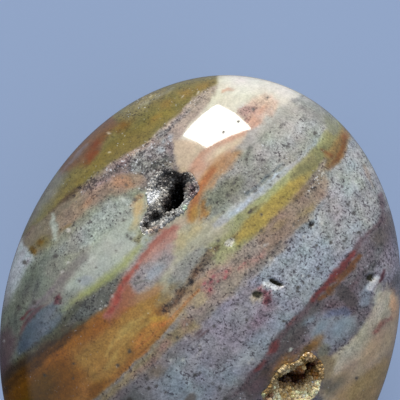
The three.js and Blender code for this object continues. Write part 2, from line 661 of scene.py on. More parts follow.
SMOKY = Hollow(
    x=-8.35,
    y=14.1,
    turn=63.5,
    mouth=(
        (0.9, 13.4), (1.2, 12.8), (2, 12.4), (3, 12.3), (4, 12.2), (5, 12.1), (6, 12.05), (7, 12.05),
        (7.8, 12.4), (8.7, 12.7), (9.7, 12.95), (10.4, 13.4), (10.6, 14.3), (10.7, 15.2), (10.3, 15.9),
        (9.6, 16.4), (9.1, 17.1), (8.9, 17.9), (8.2, 18.3), (7.2, 18.25), (6.2, 18.1), (5.3, 17.8),
        (4.6, 17.2), (4.1, 16.5), (3.8, 15.8), (3.3, 15.25), (2.6, 15), (1.9, 14.7), (1.2, 14.3),
    ),
    recesses=(
        Recess(
            (
                (4.8, 14.3), (5.4, 14.75), (6, 14.95), (6.5, 15.4), (7, 15.85), (7.8, 16), (8.5, 16.45),
                (9.2, 16.4), (9.8, 15.9), (10, 15.3), (9.4, 15), (8.8, 14.75), (8.3, 14.2), (7.8, 13.6),
                (7, 13.25), (6.2, 13.2), (5.4, 13.35), (4.9, 13.7),
            ),
            depth=7.0,
            slope=0.8,
        ),
        Recess(
            (
                (2.5, 14.2), (3.2, 14.75), (4, 14.65), (4.7, 14.2), (4.9, 13.6), (4.4, 13.2),
                (3.7, 13.35), (3, 13.7),
            ),
            depth=1.8,
            slope=0.6,
        ),
    ),
    dish_depth=1.2,
    wall=0.9,
)
HONEY = Hollow(
    x=13.75,
    y=-3.35,
    turn=45.4,
    mouth=(
        (0, -13.3), (0.2, -12.7), (1, -12.45), (1.8, -12.3), (2.4, -11.9), (3.2, -11.7), (4.1, -11.45),
        (5, -11.45), (5.8, -11.9), (6.7, -12.05), (7.6, -11.9), (8.4, -12.2), (8.7, -12.9),
        (8.7, -13.6), (8.9, -14.3), (8.5, -15), (8, -15.8), (7.2, -16.2), (6.4, -16.8), (5.4, -17.2),
        (4.2, -17.2), (2.9, -16.9), (1.6, -16.1), (0.6, -15), (0.1, -14.1),
    ),
    recesses=(
        Recess(
            (
                (2.6, -13.3), (2.8, -12.6), (3.4, -12.3), (4.2, -12.5), (5, -12.7), (5.6, -12.8),
                (5.9, -13.6), (6.3, -14.1), (6.8, -13.7), (7.1, -13.1), (7.8, -13.1), (8.5, -13.6),
                (8.8, -14.2), (8.1, -14.5), (7.4, -14.9), (6.7, -15.2), (5.9, -15.1), (5.1, -15),
                (4.5, -14.6), (4, -14), (3.2, -13.8),
            ),
            depth=3.2,
            slope=0.9,
        ),
    ),
    dish_depth=1.3,
    wall=0.8,
)


@dataclass(frozen=True)
class Pit:
    """A small pit of the face: an uneven bowl at (x, y), turned degrees from +X."""

    x: float
    y: float
    turn: float
    length: float
    width: float
    depth: float
    floor: Tone
    rim: Noise = Noise(0.25, 0.7, 31)

    def share(self, points: Array) -> Array:
        """1 on the pit's axis, 0 on its rim and less outside: 1 minus the scaled radius.

        Args:
            points: Places, one row each.

        Returns:
            The shares.
        """
        away = turned(points[:, :2] - [self.x, self.y], -self.turn)
        radius = np.hypot(away[:, 0] / self.length, away[:, 1] / self.width)
        return 1.0 - radius * (1.0 + self.rim.at(points[:, :2]))


# Each pit's floor colour is painted over its bowl. The dark olive and sooty floors are partly the pits' own
# colour and partly painted shade, and the cream floor is a sugary patch.
PITS = (
    Pit(x=7.95, y=7.35, turn=-5.4, length=1.15, width=0.36, depth=0.9, floor=Tone.DARK_OLIVE),
    Pit(x=6.1, y=5.1, turn=20.0, length=0.8, width=0.6, depth=0.2, floor=Tone.DARK_OLIVE),
    Pit(x=19.5, y=11.8, turn=60.0, length=0.55, width=0.5, depth=0.4, floor=Tone.DARK_OLIVE),
    Pit(x=0.75, y=10.5, turn=50.0, length=0.9, width=0.5, depth=0.1, floor=Tone.CREAM),
    Pit(x=10.05, y=15.9, turn=0.0, length=0.4, width=0.4, depth=0.3, floor=Tone.SOOT),
)


# ---- Marks ----

FAR = -1e9  # the reach of a mark that is nowhere near
FLECK_SHARE = 0.85  # the share of a fleck's radius at which its soft edge is half way


@dataclass(frozen=True)
class Mark:
    """What one mark leaves on the stone: its colour, its edge and its speckles.

    dark and pale are the shares of cells that have a dark or a pale dot, cover is the mark's
    strength, soft the width of its edge in millimetres, and ragged how far the edge wanders.
    """

    name: str
    colour: Tone
    shape: str
    soft: float = 0.5
    cover: float = 1.0
    dark: float = 0.2
    pale: float = 0.05
    ragged: float = 0.25

    def numbers(self) -> Array:
        """The shape's text as rows of numbers, split at blanks and colons."""
        return np.array([[float(n) for n in row.split(":")] for row in self.shape.split()])

    def reach(self, place: Array) -> Array:
        """Millimetres inside the mark at each place, negative outside."""
        raise NotImplementedError


class Band(Mark):
    """A band along s. Its shape's rows are s, the lower edge and the upper edge in t."""

    def reach(self, place: Array) -> Array:
        """The least distance to the two edges and to the two ends.

        Args:
            place: Band coordinates, one row each.

        Returns:
            The distances, positive inside.
        """
        s, low, high = self.numbers().T
        below = place[:, 1] - np.interp(place[:, 0], s, low)
        above = np.interp(place[:, 0], s, high) - place[:, 1]
        ends = np.minimum(place[:, 0] - s[0], s[-1] - place[:, 0])
        return np.minimum(np.minimum(below, above), ends)


class Vein(Mark):
    """A line of changing width. Its shape's rows are s, t and half the width there."""

    def reach(self, place: Array) -> Array:
        """Half the width at the nearest point of the line, less the distance to it.

        Args:
            place: Band coordinates, one row each.

        Returns:
            The distances, positive inside.
        """
        rows = self.numbers()
        best = np.full(len(place), FAR)
        for start, end in zip(rows[:-1], rows[1:]):
            edge = end[:2] - start[:2]
            share = np.clip(((place - start[:2]) @ edge) / (edge @ edge), 0.0, 1.0)
            away = np.linalg.norm(place - start[:2] - share[:, None] * edge, axis=1)
            best = np.maximum(best, start[2] + share * (end[2] - start[2]) - away)
        return best


class Spot(Mark):
    """Round or long spots. Each row is s, t, half the length, half the width and the turn."""

    def reach(self, place: Array) -> Array:
        """Half the width, times 1 minus the scaled distance from the nearest spot's middle.

        Args:
            place: Band coordinates, one row each.

        Returns:
            The distances, positive inside.
        """
        best = np.full(len(place), FAR)
        for s, t, length, width, turn in self.numbers():
            away = turned(place - [s, t], -turn)
            radius = np.hypot(away[:, 0] / length, away[:, 1] / width)
            best = np.maximum(best, width * (1.0 - radius))
        return best


class Fleck(Mark):
    """Small round flecks. Each row is s, t and the radius."""

    def reach(self, place: Array) -> Array:
        """Millimetres inside the nearest fleck.

        Args:
            place: Band coordinates, one row each.

        Returns:
            The distances, positive inside.
        """
        best = np.full(len(place), FAR)
        for s, t, radius in self.numbers():
            away = np.hypot(place[:, 0] - s, place[:, 1] - t)
            best = np.maximum(best, FLECK_SHARE * radius - away)
        return best


MARKS: tuple[Mark, ...] = (
    # The grey ground and the large fields.
    Band("grey field", Tone.STONE_GREY, "-34:-34:3 34:-34:3", soft=1.5, dark=0.5, pale=0.1),
    Spot("blue-grey cloud", Tone.HAZE_BLUE, "-6:-5:4.4:2.2:0 -8:-7.6:4:1.6:0", soft=1.8, cover=0.8,
         dark=0.55),
    Spot("dusk at the left", Tone.CHARCOAL, "-15.6:-3:3.4:2.6:0", soft=2.2, cover=0.9, dark=0.3),
    Spot("mauve haze", Tone.MAUVE, "-8:-1.5:2.4:0.7:4 -15:-1.2:2:0.7:0", soft=1.0, cover=0.8, dark=0.5),
    Band("pale grey field", Tone.PEWTER, "4:-7.5:0.4 10:-7.6:0.5 16:-7:2.2 22:-6:5 26:-5:5.4 34:-4:8",
         soft=1.2, dark=0.75, pale=0.15),
    Band("warm pale field", Tone.PEARL, "19:-4.6:-1 21:-5:2.4 25:-4.6:5 34:-4:5.6", soft=1.2, dark=0.7,
         pale=0.2),
    Band("lavender field", Tone.LAVENDER_GREY, "-6:-6.6:-3.4 0:-7.4:-0.8 5:-6.6:0.6 9:-5.6:-0.6", soft=1.4,
         dark=0.65),
    Band("sea-grey cloud", Tone.PEWTER, "-4:-7.6:-5 -2:-9.2:-7 3:-8.8:-6.2 7:-7.8:-6 9:-7.4:-6.4", soft=1.0,
         cover=0.8, dark=0.5),
    Spot("pink pepper", Tone.PINK_GREY, "5.4:-5:1.6:0.7:10 8:-4.4:1.2:0.5:0", soft=0.8, cover=0.7, dark=0.8),
    Band("lilac cloud", Tone.LILAC, "9.5:-5:-1.4 12:-5:-0.8 15:-4.4:-1 18:-3.6:-1.2", soft=1.2, cover=0.75,
         dark=0.8),
    Spot("pale lights", Tone.SILVER,
         "13:-5.6:0.9:0.4:10 23:-3.2:0.9:0.4:10 18:-0.8:1.2:0.4:10 9.2:-6.6:0.9:0.4:0 1:-7.8:1.2:0.4:0",
         soft=0.7, cover=0.75, dark=0.4, pale=0.3),
    Band("mauve speckled belt", Tone.ROSE_TAUPE,
         "-2:-1:2.4 1:-0.6:2.6 3:-0.4:4.4 8:0:4.4 14:0.2:4 19:1.4:4.4 22.4:2.6:4.2", soft=0.9, dark=0.6,
         ragged=0.4),
    Spot("slate dust", Tone.WARM_GREY, "12.2:0.9:1.8:0.45:5 9.8:0.5:1.2:0.3:0", soft=0.6, cover=0.8,
         dark=0.9),
    Vein("fawn top of the belt", Tone.SAND, "3.4:3.7:0.3 6:4:0.35 8.6:3.6:0.3", cover=0.8, dark=0.3),
    Band("tan belt", Tone.FALLOW, "12:1:3.4 15:1.2:4.6 19:1.8:5 22.5:2.8:5 24:3.6:4.6", soft=0.8,
         cover=0.85, dark=0.5),
    # Upper bands, from the outline down.
    Band("olive crown", Tone.BRONZE_GREEN,
         "-19:19:30 -14:21.4:30 -12:22.3:31 -8:22.6:31 -4:22.9:31 0:23.1:31 3:23.05:31 5:22.7:31 8:22.3:31 "
         "11:22.4:31 14:22.6:31 16:22.9:31 18:23:31 20:22.5:30 21.4:22.1:29 22.2:21.9:26", soft=0.45,
         dark=0.35, pale=0.06, ragged=0.2),
    Band("grey-olive shoulder", Tone.LEAD,
         "-20:18:30 -14:21.8:31 -10:22.8:31 -6:23.6:31 -3:24.8:31 -1.4:25.8:31", soft=1.2, cover=0.8),
    Band("yellow olive", Tone.YELLOW_OLIVE,
         "-2:23.3:24 2:23.2:24.6 5:23:25.3 8:22.6:25 11:22.7:24.6 14:22.9:23.8", soft=0.7, cover=0.85,
         dark=0.3, pale=0.1),
    Band("russet crest", Tone.RUSSET,
         "-2.6:25.6:26.3 -1:25.4:30 0.6:25.1:30 2:24.75:30 3.2:24.8:30 4.2:25.6:30 5.4:26.1:30 7.2:26.5:30",
         soft=0.6, cover=0.95),
    Spot("russet heart", Tone.MAHOGANY, "1.8:25.3:1.3:0.45:12 3.4:26.1:0.9:0.35:14", cover=0.95, dark=0.1),
    Spot("brown crest", Tone.OLIVE_BROWN, "7.6:25.9:1.1:0.7:0 5.6:26.4:1.2:0.4:0 8.6:26.8:0.6:0.3:0",
         soft=0.8, cover=0.85, dark=0.4),
    Vein("dark red edge", Tone.VIOLET_GREY,
         "-3.4:25.7:0.08 -2:26:0.16 -0.4:26.35:0.2 1:26.6:0.22 2.4:26.8:0.15", soft=0.3, cover=0.85,
         dark=0.1, ragged=0.1),
    Band("pebbly grey crest", Tone.OLIVE, "8.2:25.8:30 10:25.7:30 12.4:25.8:30 14.4:25.6:29", soft=0.6,
         dark=0.6, pale=0.4),
    Vein("pale crest streak", Tone.PALE_SAGE, "10.6:26.5:0.2 13:26.1:0.3 15.6:25.7:0.2", soft=0.4,
         cover=0.6, dark=0.6, pale=0.3),
    Spot("amber crest", Tone.DARK_GOLD,
         "16.4:24.2:0.9:0.5:-10 13.8:24.5:0.8:0.4:0 18.9:23.3:1.1:0.4:-20 11.6:24:0.7:0.3:0", soft=0.6,
         cover=0.85, dark=0.3, pale=0.1),
    Vein("dusky line", Tone.DARK_BROWN,
         "-8:22.5:0.1 -6.6:22.6:0.24 -4.6:22.7:0.32 -3:22.9:0.24 -1.6:23:0.12", soft=0.4, cover=0.85,
         dark=0.9, ragged=0.2),
    Vein("plum edge of the shoulder", Tone.PLUM, "-12.8:21.4:0.2 -11.4:21.9:0.35 -9.8:22.5:0.2", soft=0.4,
         cover=0.75, dark=0.5),
    Band("grey shoulder", Tone.KHAKI_GREY,
         "-12:19:22.2 -9.6:18.9:22.7 -8:19.4:22.7 -6:21.8:22.9 -3.4:22:22.8", soft=0.6, dark=0.3),
    Vein("mauve belt left", Tone.DRAB,
         "-4:22.3:0.12 -2.4:22.5:0.25 -0.6:22.7:0.35 1.2:22.75:0.3 3:22.7:0.2", soft=0.35, dark=1, pale=0.4,
         ragged=0.15),
    Band("salt and pepper belt", Tone.MAUVE, "-2:22:22.6 1:21.2:22.6 3:20.8:22.7 4.4:19.6:22.5 6:18.4:22.4 "
         "8:17.4:22.1 10:18.4:22.2 11.6:20.8:22.2", dark=1, pale=0.7, ragged=0.3),
    Vein("violet pepper", Tone.TAUPE,
         "-1.4:22.2:0.2 0.4:22.25:0.35 2:22:0.45 3.4:21.7:0.45 4.8:21.2:0.35 5.8:20.9:0.2", cover=0.85,
         dark=1, pale=0.4),
    Band("silver sugar", Tone.ASH, "4.6:18.6:20.6 6:18:22 8:18.4:21.8 9.6:19.2:21.6", soft=0.6, cover=0.8,
         dark=1, pale=0.9, ragged=0.3),
    Spot("sooty corner", Tone.CHARCOAL, "7.8:19.2:0.9:0.55:10 9.2:18.9:0.5:0.4:0 8.4:18.1:0.7:0.4:0",
         cover=0.9, dark=1, pale=0.7),
    Band("mauve belt", Tone.BEIGE,
         "9.4:21.2:22.3 12:21.1:22.4 14:21.3:22.5 16:21.5:22.8 18:21.8:22.9 20.2:22:22.6", soft=0.45,
         dark=0.7, pale=0.2),
    Vein("plum pepper", Tone.WARM_GREY, "9.6:21.9:0.2 11.4:21.7:0.35 13.4:21.9:0.3 15.4:22:0.2", soft=0.4,
         cover=0.8, dark=1, ragged=0.2),
    Spot("pale blue cloud", Tone.STEEL, "10.3:20.95:0.55:0.45:0 9.4:20.3:0.5:0.5:0 11.6:20.9:0.6:0.3:0",
         soft=0.4, cover=0.9, dark=0.6, pale=0.5),
    Vein("white dust", Tone.BEIGE, "2.6:22.8:0.12 4.4:22.55:0.25 6:22.25:0.3 7.6:22:0.25 9:22:0.1",
         soft=0.35, cover=0.85, dark=0.7, pale=0.8, ragged=0.15),
    Band("rosy cream", Tone.ROSE_TAUPE,
         "11.8:20:21.3 13:20.2:21.6 15:20.4:21.7 17:20.5:22 19:20.6:22.4 21:20.8:22.4", soft=0.6, dark=0.3),
    Band("cream", Tone.CREAM, "12.4:17:19.6 14:16.4:20.6 17:16:20.9 20:15.4:22 23:15.4:25 34:13:25",
         soft=0.6, dark=0, pale=0),
    Band("tan wedge", Tone.WHEAT,
         "9.8:16.7:17.6 10.6:16.4:19.4 11.4:16.4:20.1 12.4:16.6:19.6 13.4:16.7:18.6 14.6:16.8:17.6",
         soft=0.45, cover=0.95, dark=0.05, ragged=0.12),
    Vein("mauve edge of the wedge", Tone.VIOLET_GREY,
         "9.2:16.4:0.3 9.5:17.4:0.4 9.8:18.4:0.4 10.3:19.4:0.35 11:20.2:0.25", cover=0.85, dark=0.7),
    Spot("olive patch", Tone.OLIVE, "-9.9:20.2:1.1:0.85:-20 -9.1:19.2:0.8:0.4:-20", soft=0.7, cover=0.9,
         dark=0.3),
    Spot("rusty spots", Tone.OLIVE_BROWN,
         "-11.6:20.2:0.4:0.55:0 -10.2:20.4:0.35:0.35:0 -6.4:20.1:0.6:0.3:0", soft=0.4, cover=0.75, dark=0.5),
    Band("light rim", Tone.MOON,
         "-20:15.8:20 -18:16.8:22 -16:17.5:23 -14.4:18.3:23 -13:19:24 -12.1:19.2:24", soft=0.55, dark=0.3,
         pale=0.1),
    Spot("grey of the rim", Tone.STONE_GREY, "-18.8:16.7:1.6:0.6:35 -13:20.9:0.7:0.3:20", soft=0.9,
         cover=0.8),
    Spot("lilac in the rim", Tone.ORCHID, "-13.1:19.5:0.6:0.35:20", soft=0.4, cover=0.7, dark=0.6),
    Band("peach belt", Tone.FALLOW, "-7:19.8:21.7 -5.6:19.9:21.9 -2:19.9:21.9 0:19.6:21.6 1.4:19:21.3 "
         "3:18.6:21.2 4.6:18.4:20.4 5.6:18.4:19.6", soft=0.55, dark=0.45),
    Spot("orange in the peach", Tone.TAN, "2.9:20.2:1.1:0.65:-25 3.4:19.3:0.9:0.5:-30 -2.3:20.7:0.9:0.4:0",
         cover=0.85, dark=0.5),
    Spot("pink in the peach", Tone.FALLOW, "1.2:19.9:0.9:0.5:-20 -4.4:20.2:0.9:0.35:0 -0.2:20.2:0.8:0.3:0 "
         "4.6:18.8:0.8:0.4:0 0.4:21.2:1.4:0.5:-8", cover=0.7, dark=0.5),
    Vein("white wisp", Tone.MINT, "-8.4:19.5:0.2 -8:20.2:0.22 -7.6:20.8:0.42 -7.2:21.5:0.5 -6.7:22.2:0.3",
         soft=0.35, cover=0.95, pale=0.1, ragged=0.2),
    Band("light speckled belt", Tone.PALE_SAGE,
         "-12:15.6:19.2 -8:15.2:19.6 -4:15.4:19.8 0:16:19.8 2.4:16.6:18.8 4:17:18.2", soft=0.9, dark=0.6,
         pale=0.12),
    Band("blue-grey speckled belt", Tone.CELADON,
         "-9.4:17.6:18 -7.6:17:18.6 -5:16.1:19.2 -3:16.1:19.2 0:16.1:19.2 1.6:16.4:18.6 2.6:16.8:18",
         soft=1.0, dark=0.65, pale=0.12),
    Band("grey-green shoulder", Tone.GREEN_GREY,
         "-23:9.4:15.4 -20:12.6:16.4 -17:15:17.3 -14:14.8:18.8 -11.4:15.4:19.2 -9.4:16:18.4", soft=1.0,
         dark=0.35),
    Spot("green-grey light", Tone.MINT_GREY, "-10.6:17:1.8:1:20 -7.4:17.6:1.2:0.9:0", soft=1.2, cover=0.7,
         dark=0.45),
    Vein("dark streaks of the shoulder", Tone.CHARCOAL,
         "-19.6:14:0.35 -17.8:15.5:0.45 -15.4:16.6:0.3 -13:18.4:0.15", soft=0.9, cover=0.75, dark=0.5),
    Vein("second dark streak", Tone.CHARCOAL, "-16:14.8:0.15 -14.4:16:0.25 -12.8:17.4:0.2", cover=0.6,
         dark=0.5),
    Band("dim mint", Tone.MINT_GREY, "-15:12:14.2 -12:12:15.2 -9:12.6:15.6 -6:13:15.9", soft=1.0, dark=0.3),
    Band("pale mint field", Tone.MINT,
         "-12:12.4:13.4 -10:12.2:14.4 -8:12.2:15 -4:12.3:16.2 0:12.4:16.3 2:14:16 3.6:15.2:15.8", soft=1.1),
    Spot("white mint", Tone.PALE_MINT, "-4:14.2:2.6:1.1:2 -1.4:13.2:1.8:0.7:0 -6.4:13.6:1.6:0.6:0",
         soft=1.0, cover=0.8, dark=0.05),
    Spot("butter cream", Tone.BUTTER, "2.5:16:1.5:0.7:38 1:14.9:0.9:0.4:20", cover=0.95, dark=0.1,
         ragged=0.15),
    Spot("amber in the butter", Tone.PALE_OCHRE, "2.2:15.8:0.9:0.35:40", soft=0.4, cover=0.35, dark=0),
    Spot("orange fleck above the hollow", Tone.TAN,
         "2.9:17.2:0.6:0.22:15 3.7:17:0.3:0.22:0 2:16.9:0.3:0.15:0", soft=0.3, cover=0.7, dark=0.9,
         ragged=0.12),
    Spot("umber crumbs", Tone.OLIVE,
         "0.2:12.9:0.7:0.35:30 0.6:12.2:0.3:0.3:0 -0.3:13.1:0.3:0.2:0 3.1:15.2:0.5:0.16:0", soft=0.35,
         cover=0.75, dark=1, pale=0.3, ragged=0.2),
    Spot("umber crumbs under the hollow", Tone.RUSSET, "1.6:12.4:0.5:0.2:-10 3:12.15:0.6:0.16:0", soft=0.3,
         cover=0.7, dark=1, ragged=0.2),
    Spot("fawn edge of the hollow", Tone.SAND,
         "1:14.3:0.7:0.3:20 3.6:15.5:0.5:0.3:40 10.9:15.4:0.4:0.7:0 10.3:16.3:0.6:0.25:-35", soft=0.4,
         cover=0.7, dark=0.9, pale=0.6),
    Vein("lavender streak", Tone.PLUM_GREY,
         "-17:14.4:0.2 -15.4:14.4:0.4 -13.4:14.5:0.4 -11.6:14.8:0.3 -10:15:0.15", cover=0.9, dark=0.3),
    Vein("mauve haze of the mint", Tone.MINT_GREY, "-12.6:14:0.3 -11:14.9:0.4 -9:15.3:0.4 -7:15.5:0.25",
         soft=0.7, cover=0.8),
    Band("slate blue lens", Tone.SLATE,
         "-21.2:10.7:11.3 -19.6:10.4:12.2 -17.6:10.5:13.1 -16:10.6:13.4 -14.4:11:13.2 -13.4:11.6:12.8",
         soft=0.7, dark=0.35),
    Spot("blue of the slate", Tone.DEEP_SLATE, "-17.6:12.4:1.5:0.7:10 -19.6:11.2:1.2:0.5:20", soft=0.8,
         cover=0.8, dark=0.1),
    Spot("light end of the slate", Tone.BLUE_GREY, "-15:12.1:1.5:0.9:0 -16:11.2:1.2:0.4:0", soft=0.9,
         cover=0.85, dark=0.3),
    Vein("plum streak", Tone.WINE,
         "-19.8:12.6:0.12 -18.4:13.3:0.22 -17:13.6:0.26 -15.8:13.8:0.24 -14.6:13.6:0.12", soft=0.35,
         cover=0.75, dark=0.3, ragged=0.15),
    Vein("upper plum streak", Tone.DARK_WINE, "-18.2:14:0.1 -17.2:14.25:0.2 -16.2:14.15:0.12", soft=0.3,
         cover=0.8, dark=0.3),
    Spot("bluish lens in the mint", Tone.STEEL, "-8.7:13.1:0.8:0.45:-30", cover=0.8, dark=0.1),
    Spot("crimson fleck", Tone.DARK_WINE, "-13:13.2:0.65:0.34:35 -13:12.7:0.3:0.3:0", soft=0.2, cover=0.8,
         dark=0.6, ragged=0.15),
    Vein("lime line", Tone.LIME_GREEN,
         "-13.4:11.6:0.15 -11:11.8:0.3 -9:11.5:0.5 -6:11.4:0.5 -4:11.5:0.45 -2:11.8:0.38 -0.4:12.1:0.2",
         soft=0.8, cover=0.85, dark=0.1, ragged=0.2),
    Spot("dim green of the mint", Tone.GREEN_GREY, "-13.2:11.9:1.4:0.5:5 -11.6:12.6:0.9:0.4:0", soft=0.8,
         cover=0.7, dark=0.5),
    Band("speckled slate band", Tone.MOSS_GREY,
         "-14:9.4:10.8 -12:9:11 -9:8.7:10.9 -7:8.7:10.8 -5.6:9.6:10.7", dark=0.8, pale=0.12),
    Spot("dark head of the slate band", Tone.CHARCOAL, "-12.2:10.2:1:0.6:0 -10.9:10.7:0.5:0.3:0", soft=0.6,
         cover=0.8, dark=0.6),
    Spot("blue-grey in the slate band", Tone.MOSS_GREY, "-8.4:9.9:1.3:0.6:10", soft=0.6, cover=0.8,
         dark=0.3, pale=0.2),
    Band("moss shadow", Tone.DARK_BROWN, "-26:8.5:11 -22:8.6:10 -18:8.7:9.5 -14:8.7:9.3 -12.4:8.6:9",
         soft=0.9, cover=0.95, dark=0.3, pale=0),
    Vein("olive hem", Tone.OLIVE_DRAB,
         "-22.6:10.3:0.15 -20:10.1:0.3 -17:10.1:0.35 -14.4:10.3:0.4 -12.6:10.7:0.3 -11:11:0.15", soft=0.7,
         cover=0.85, dark=0.6, pale=0.03),
    Spot("green glint in the moss", Tone.OLIVE_DRAB, "-13.2:9:0.9:0.4:0 -15:9.5:1.2:0.35:0", cover=0.7,
         pale=0.2),
    Band("plum rim", Tone.PLUM, "-30:8.6:16 -25:9.8:15 -22.4:10.8:14.4 -20.4:12.4:14.6", soft=1.1,
         cover=0.85, dark=0.25),
    # The orange band and what lies in it.
    Band("orange band", Tone.ORANGE, "-34:-2:8.3 -24:0:8.5 -18:0.2:8.5 -14:0.5:8.5 -10:0.9:8.2 -8:1:7.6 "
         "-6:1.2:6.8 -4.4:1.5:6.2 -3:1.8:5.6", dark=0.3),
    Band("peach tail", Tone.PALE_TAN, "-4:1.6:3.6 -2:1.9:3.3 0:2.2:3.4 2:2.5:3.7 3:3:3.8", cover=0.85,
         dark=0.4),
    Band("dark end of the orange band", Tone.BURNT,
         "-34:-2:8 -24:0.6:8.3 -21:1.4:8 -18.4:2.4:7.8 -16.8:3.8:7", soft=1.8, cover=0.9),
    Spot("olive shade", Tone.OLIVE_BROWN, "-21.6:5.4:2.2:1.6:8 -23.4:4.6:2:1.5:0", soft=1.2, cover=0.85),
    Band("ochre heart", Tone.OCHRE, "-16:1.4:5.8 -14:1.2:6.2 -11:1.4:6 -8:3:6 -5:4.2:5.8 -2.6:4.6:5.6",
         soft=1.0, cover=0.9, dark=0.25),
    Vein("straw streak", Tone.STRAW, "-12.6:3.6:0.15 -11:4.4:0.35 -9:4.7:0.45 -7:4.9:0.35 -4.6:4.7:0.25",
         soft=0.6, cover=0.8),
    Vein("straw streak below", Tone.STRAW,
         "-14.4:2.2:0.15 -12.4:2.7:0.35 -10.8:3.3:0.25 -8:3.8:0.2 -4.4:3.7:0.25", soft=0.6, cover=0.75),
    Band("tawny edge", Tone.TAWNY, "-20:7:8.5 -16:6.9:8.5 -12:6.7:8.5 -9:6.6:8 -7:6.1:7", soft=0.6,
         cover=0.75, dark=0.3),
    Band("brown edge", Tone.SEPIA, "-26:7.8:8.9 -20:7.9:8.9 -15:8.1:8.8 -12.5:8.2:8.7", soft=0.6,
         cover=0.95, dark=0.3),
    Band("bright amber", Tone.AMBER, "-9:1.2:3 -6.6:1.4:3.4 -4.6:1.7:3.6 -3.2:2:3", soft=0.6, cover=0.9,
         dark=0.3),
    Spot("gold by the lens", Tone.BRIGHT_GOLD, "-4.2:3.2:0.9:0.45:-35", cover=0.85),
    Spot("orange glow", Tone.GLOW, "-4.4:2.4:0.9:0.3:-20 -8.6:0.95:0.7:0.2:5 -7.4:2.8:0.6:0.25:10",
         cover=0.8, dark=0.3),
    Band("amber above", Tone.OCHRE, "-8.4:5.8:6.9 -6:5.3:6.6 -4.4:5.3:6.3 -3:5.4:5.9", cover=0.8),
    Spot("rust patch", Tone.BURNT, "-16.2:0.9:1.5:0.7:6", soft=0.6, cover=0.8, dark=0.3),
    Vein("brown thread", Tone.ORANGE,
         "-13:0.65:0.14 -8:1.25:0.18 -5:1.5:0.18 -3:1.9:0.16 -1.6:2.2:0.14 -0.4:2.5:0.12", soft=0.22,
         cover=0.85, dark=0.5, ragged=0.1),
    Vein("orange thread", Tone.GLOW,
         "-9:2:0.1 -6:2.05:0.12 -3:2.3:0.12 -0.8:2.6:0.1 1:2.8:0.08 2.1:2.95:0.2", soft=0.22, cover=0.7,
         dark=0.4, ragged=0.1),
    Band("tan under the orange", Tone.KHAKI, "-18:-1.2:-0.2 -13:-0.9:0.2 -8:-0.7:0.7 -4:-0.6:1 -1:-0.6:1.6",
         soft=0.8, cover=0.85, dark=0.5),
    Spot("red haze", Tone.ROSE_GREY,
         "-8.6:-0.6:1.6:0.5:4 -6.2:-0.1:1.4:0.5:15 -2:0.8:0.9:0.5:0 -2.2:1.1:0.4:0.25:0", soft=0.7,
         cover=0.75, dark=0.8),
    Spot("peach pocket", Tone.BUTTER, "1.6:1.9:1.2:0.7:10 3.9:3.5:0.6:0.35:0", soft=0.6, cover=0.9,
         dark=0.3),
    # Around the dark lens, between the orange and the gold.
    Band("pale lichen field", Tone.LICHEN_CREAM,
         "-1.4:5.6:6.6 1:6.2:7.8 3:6.6:10.4 6:6.4:11.2 9:6.4:10 11:6.6:8.4 13:7:8", soft=0.8),
    Spot("straw cloud", Tone.BUTTER, "4.2:9.5:1.3:0.8:20 6.6:9.5:1.6:0.6:10", soft=0.7, cover=0.85,
         dark=0.15),
    Spot("milky spot", Tone.CREAM, "9.3:7.8:1.4:0.4:0 1.4:7.1:0.8:0.3:0", soft=0.6, cover=0.8, dark=0.1),
    Spot("grey beside the hollow", Tone.WHEAT, "5.6:11.4:1.0:0.6:0 7.8:10:0.5:0.3:0", cover=0.8, dark=0.1),
    Band("grey above the lens", Tone.SAGE_GREY, "-0.6:5.2:6.4 1.6:5.2:7 4:5.9:7.6 6:6.2:7", soft=0.6,
         cover=0.85, dark=0.5),
    Spot("khaki above the lens", Tone.KHAKI, "-2.2:4.9:1.4:0.6:10 -0.4:5.3:0.9:0.35:0", soft=0.6,
         cover=0.85, dark=0.3),
    Band("beige under the gold", Tone.LIME, "6:4.1:6 8:3.9:6.2 10:3.9:6.2 11.6:4.2:6", soft=0.6, cover=0.85,
         dark=0.4, pale=0.1),
    Vein("dark lens", Tone.DRAB,
         "-3.4:3.7:0.3 -1.8:3.8:0.5 0:4.1:0.6 1.6:4.5:0.5 3:5:0.55 4.8:5.4:0.5 6.2:5.6:0.4 7:5.8:0.25",
         cover=0.95, dark=0.9, pale=0.1, ragged=0.35),
    Spot("umber in the lens", Tone.RUSSET,
         "-1.4:3.6:1.1:0.3:5 0.1:4.2:0.7:0.6:0 3.1:4.9:1.1:0.34:25 -2.8:3.8:0.5:0.3:0", soft=0.4, cover=0.7,
         dark=1, pale=0.2),
    Spot("sugar patch", Tone.PISTACHIO, "9:5:0.75:0.6:30 6.6:5.5:0.22:0.3:0", soft=0.3, dark=0.8, pale=1),
    Spot("brown dust", Tone.BRONZE, "10.4:5.4:0.9:0.4:0 7:5.9:0.5:0.2:0", cover=0.7, dark=0.9),
    Band("lavender patch", Tone.DUSTY_LILAC,
         "-5.3:7.4:8 -4.6:7.2:9.2 -3:7.2:9.8 -1:7.3:9.7 1:7.7:9.5 2.2:8.3:9.3", soft=0.6, dark=0.4,
         pale=0.1),
    Spot("blue in the lavender", Tone.LILAC, "-1.1:8.4:1.3:0.6:0", soft=0.6, cover=0.85),
    Spot("dim corner of the lavender", Tone.MINT_GREY, "-3.1:8.6:0.7:0.4:-30", cover=0.45, dark=0.4),
    Vein("slate threads in the lavender", Tone.MOSS_GREY,
         "-4:8.7:0.06 -3.2:8.4:0.1 -2.4:8.1:0.1 -1.9:7.6:0.08", soft=0.2, cover=0.8, dark=0.4, ragged=0.12),
    Vein("pink field", Tone.PINK, "-1.6:10.4:0.3 0.4:10.6:0.7 2.2:10.7:0.9 3.6:10.8:0.8 4.8:11.2:0.35",
         cover=0.9),
    Spot("rosy lilac", Tone.ROSY_LILAC, "0.4:9.8:1.4:0.5:0 2.6:9.6:0.8:0.6:0", soft=0.6, cover=0.7),
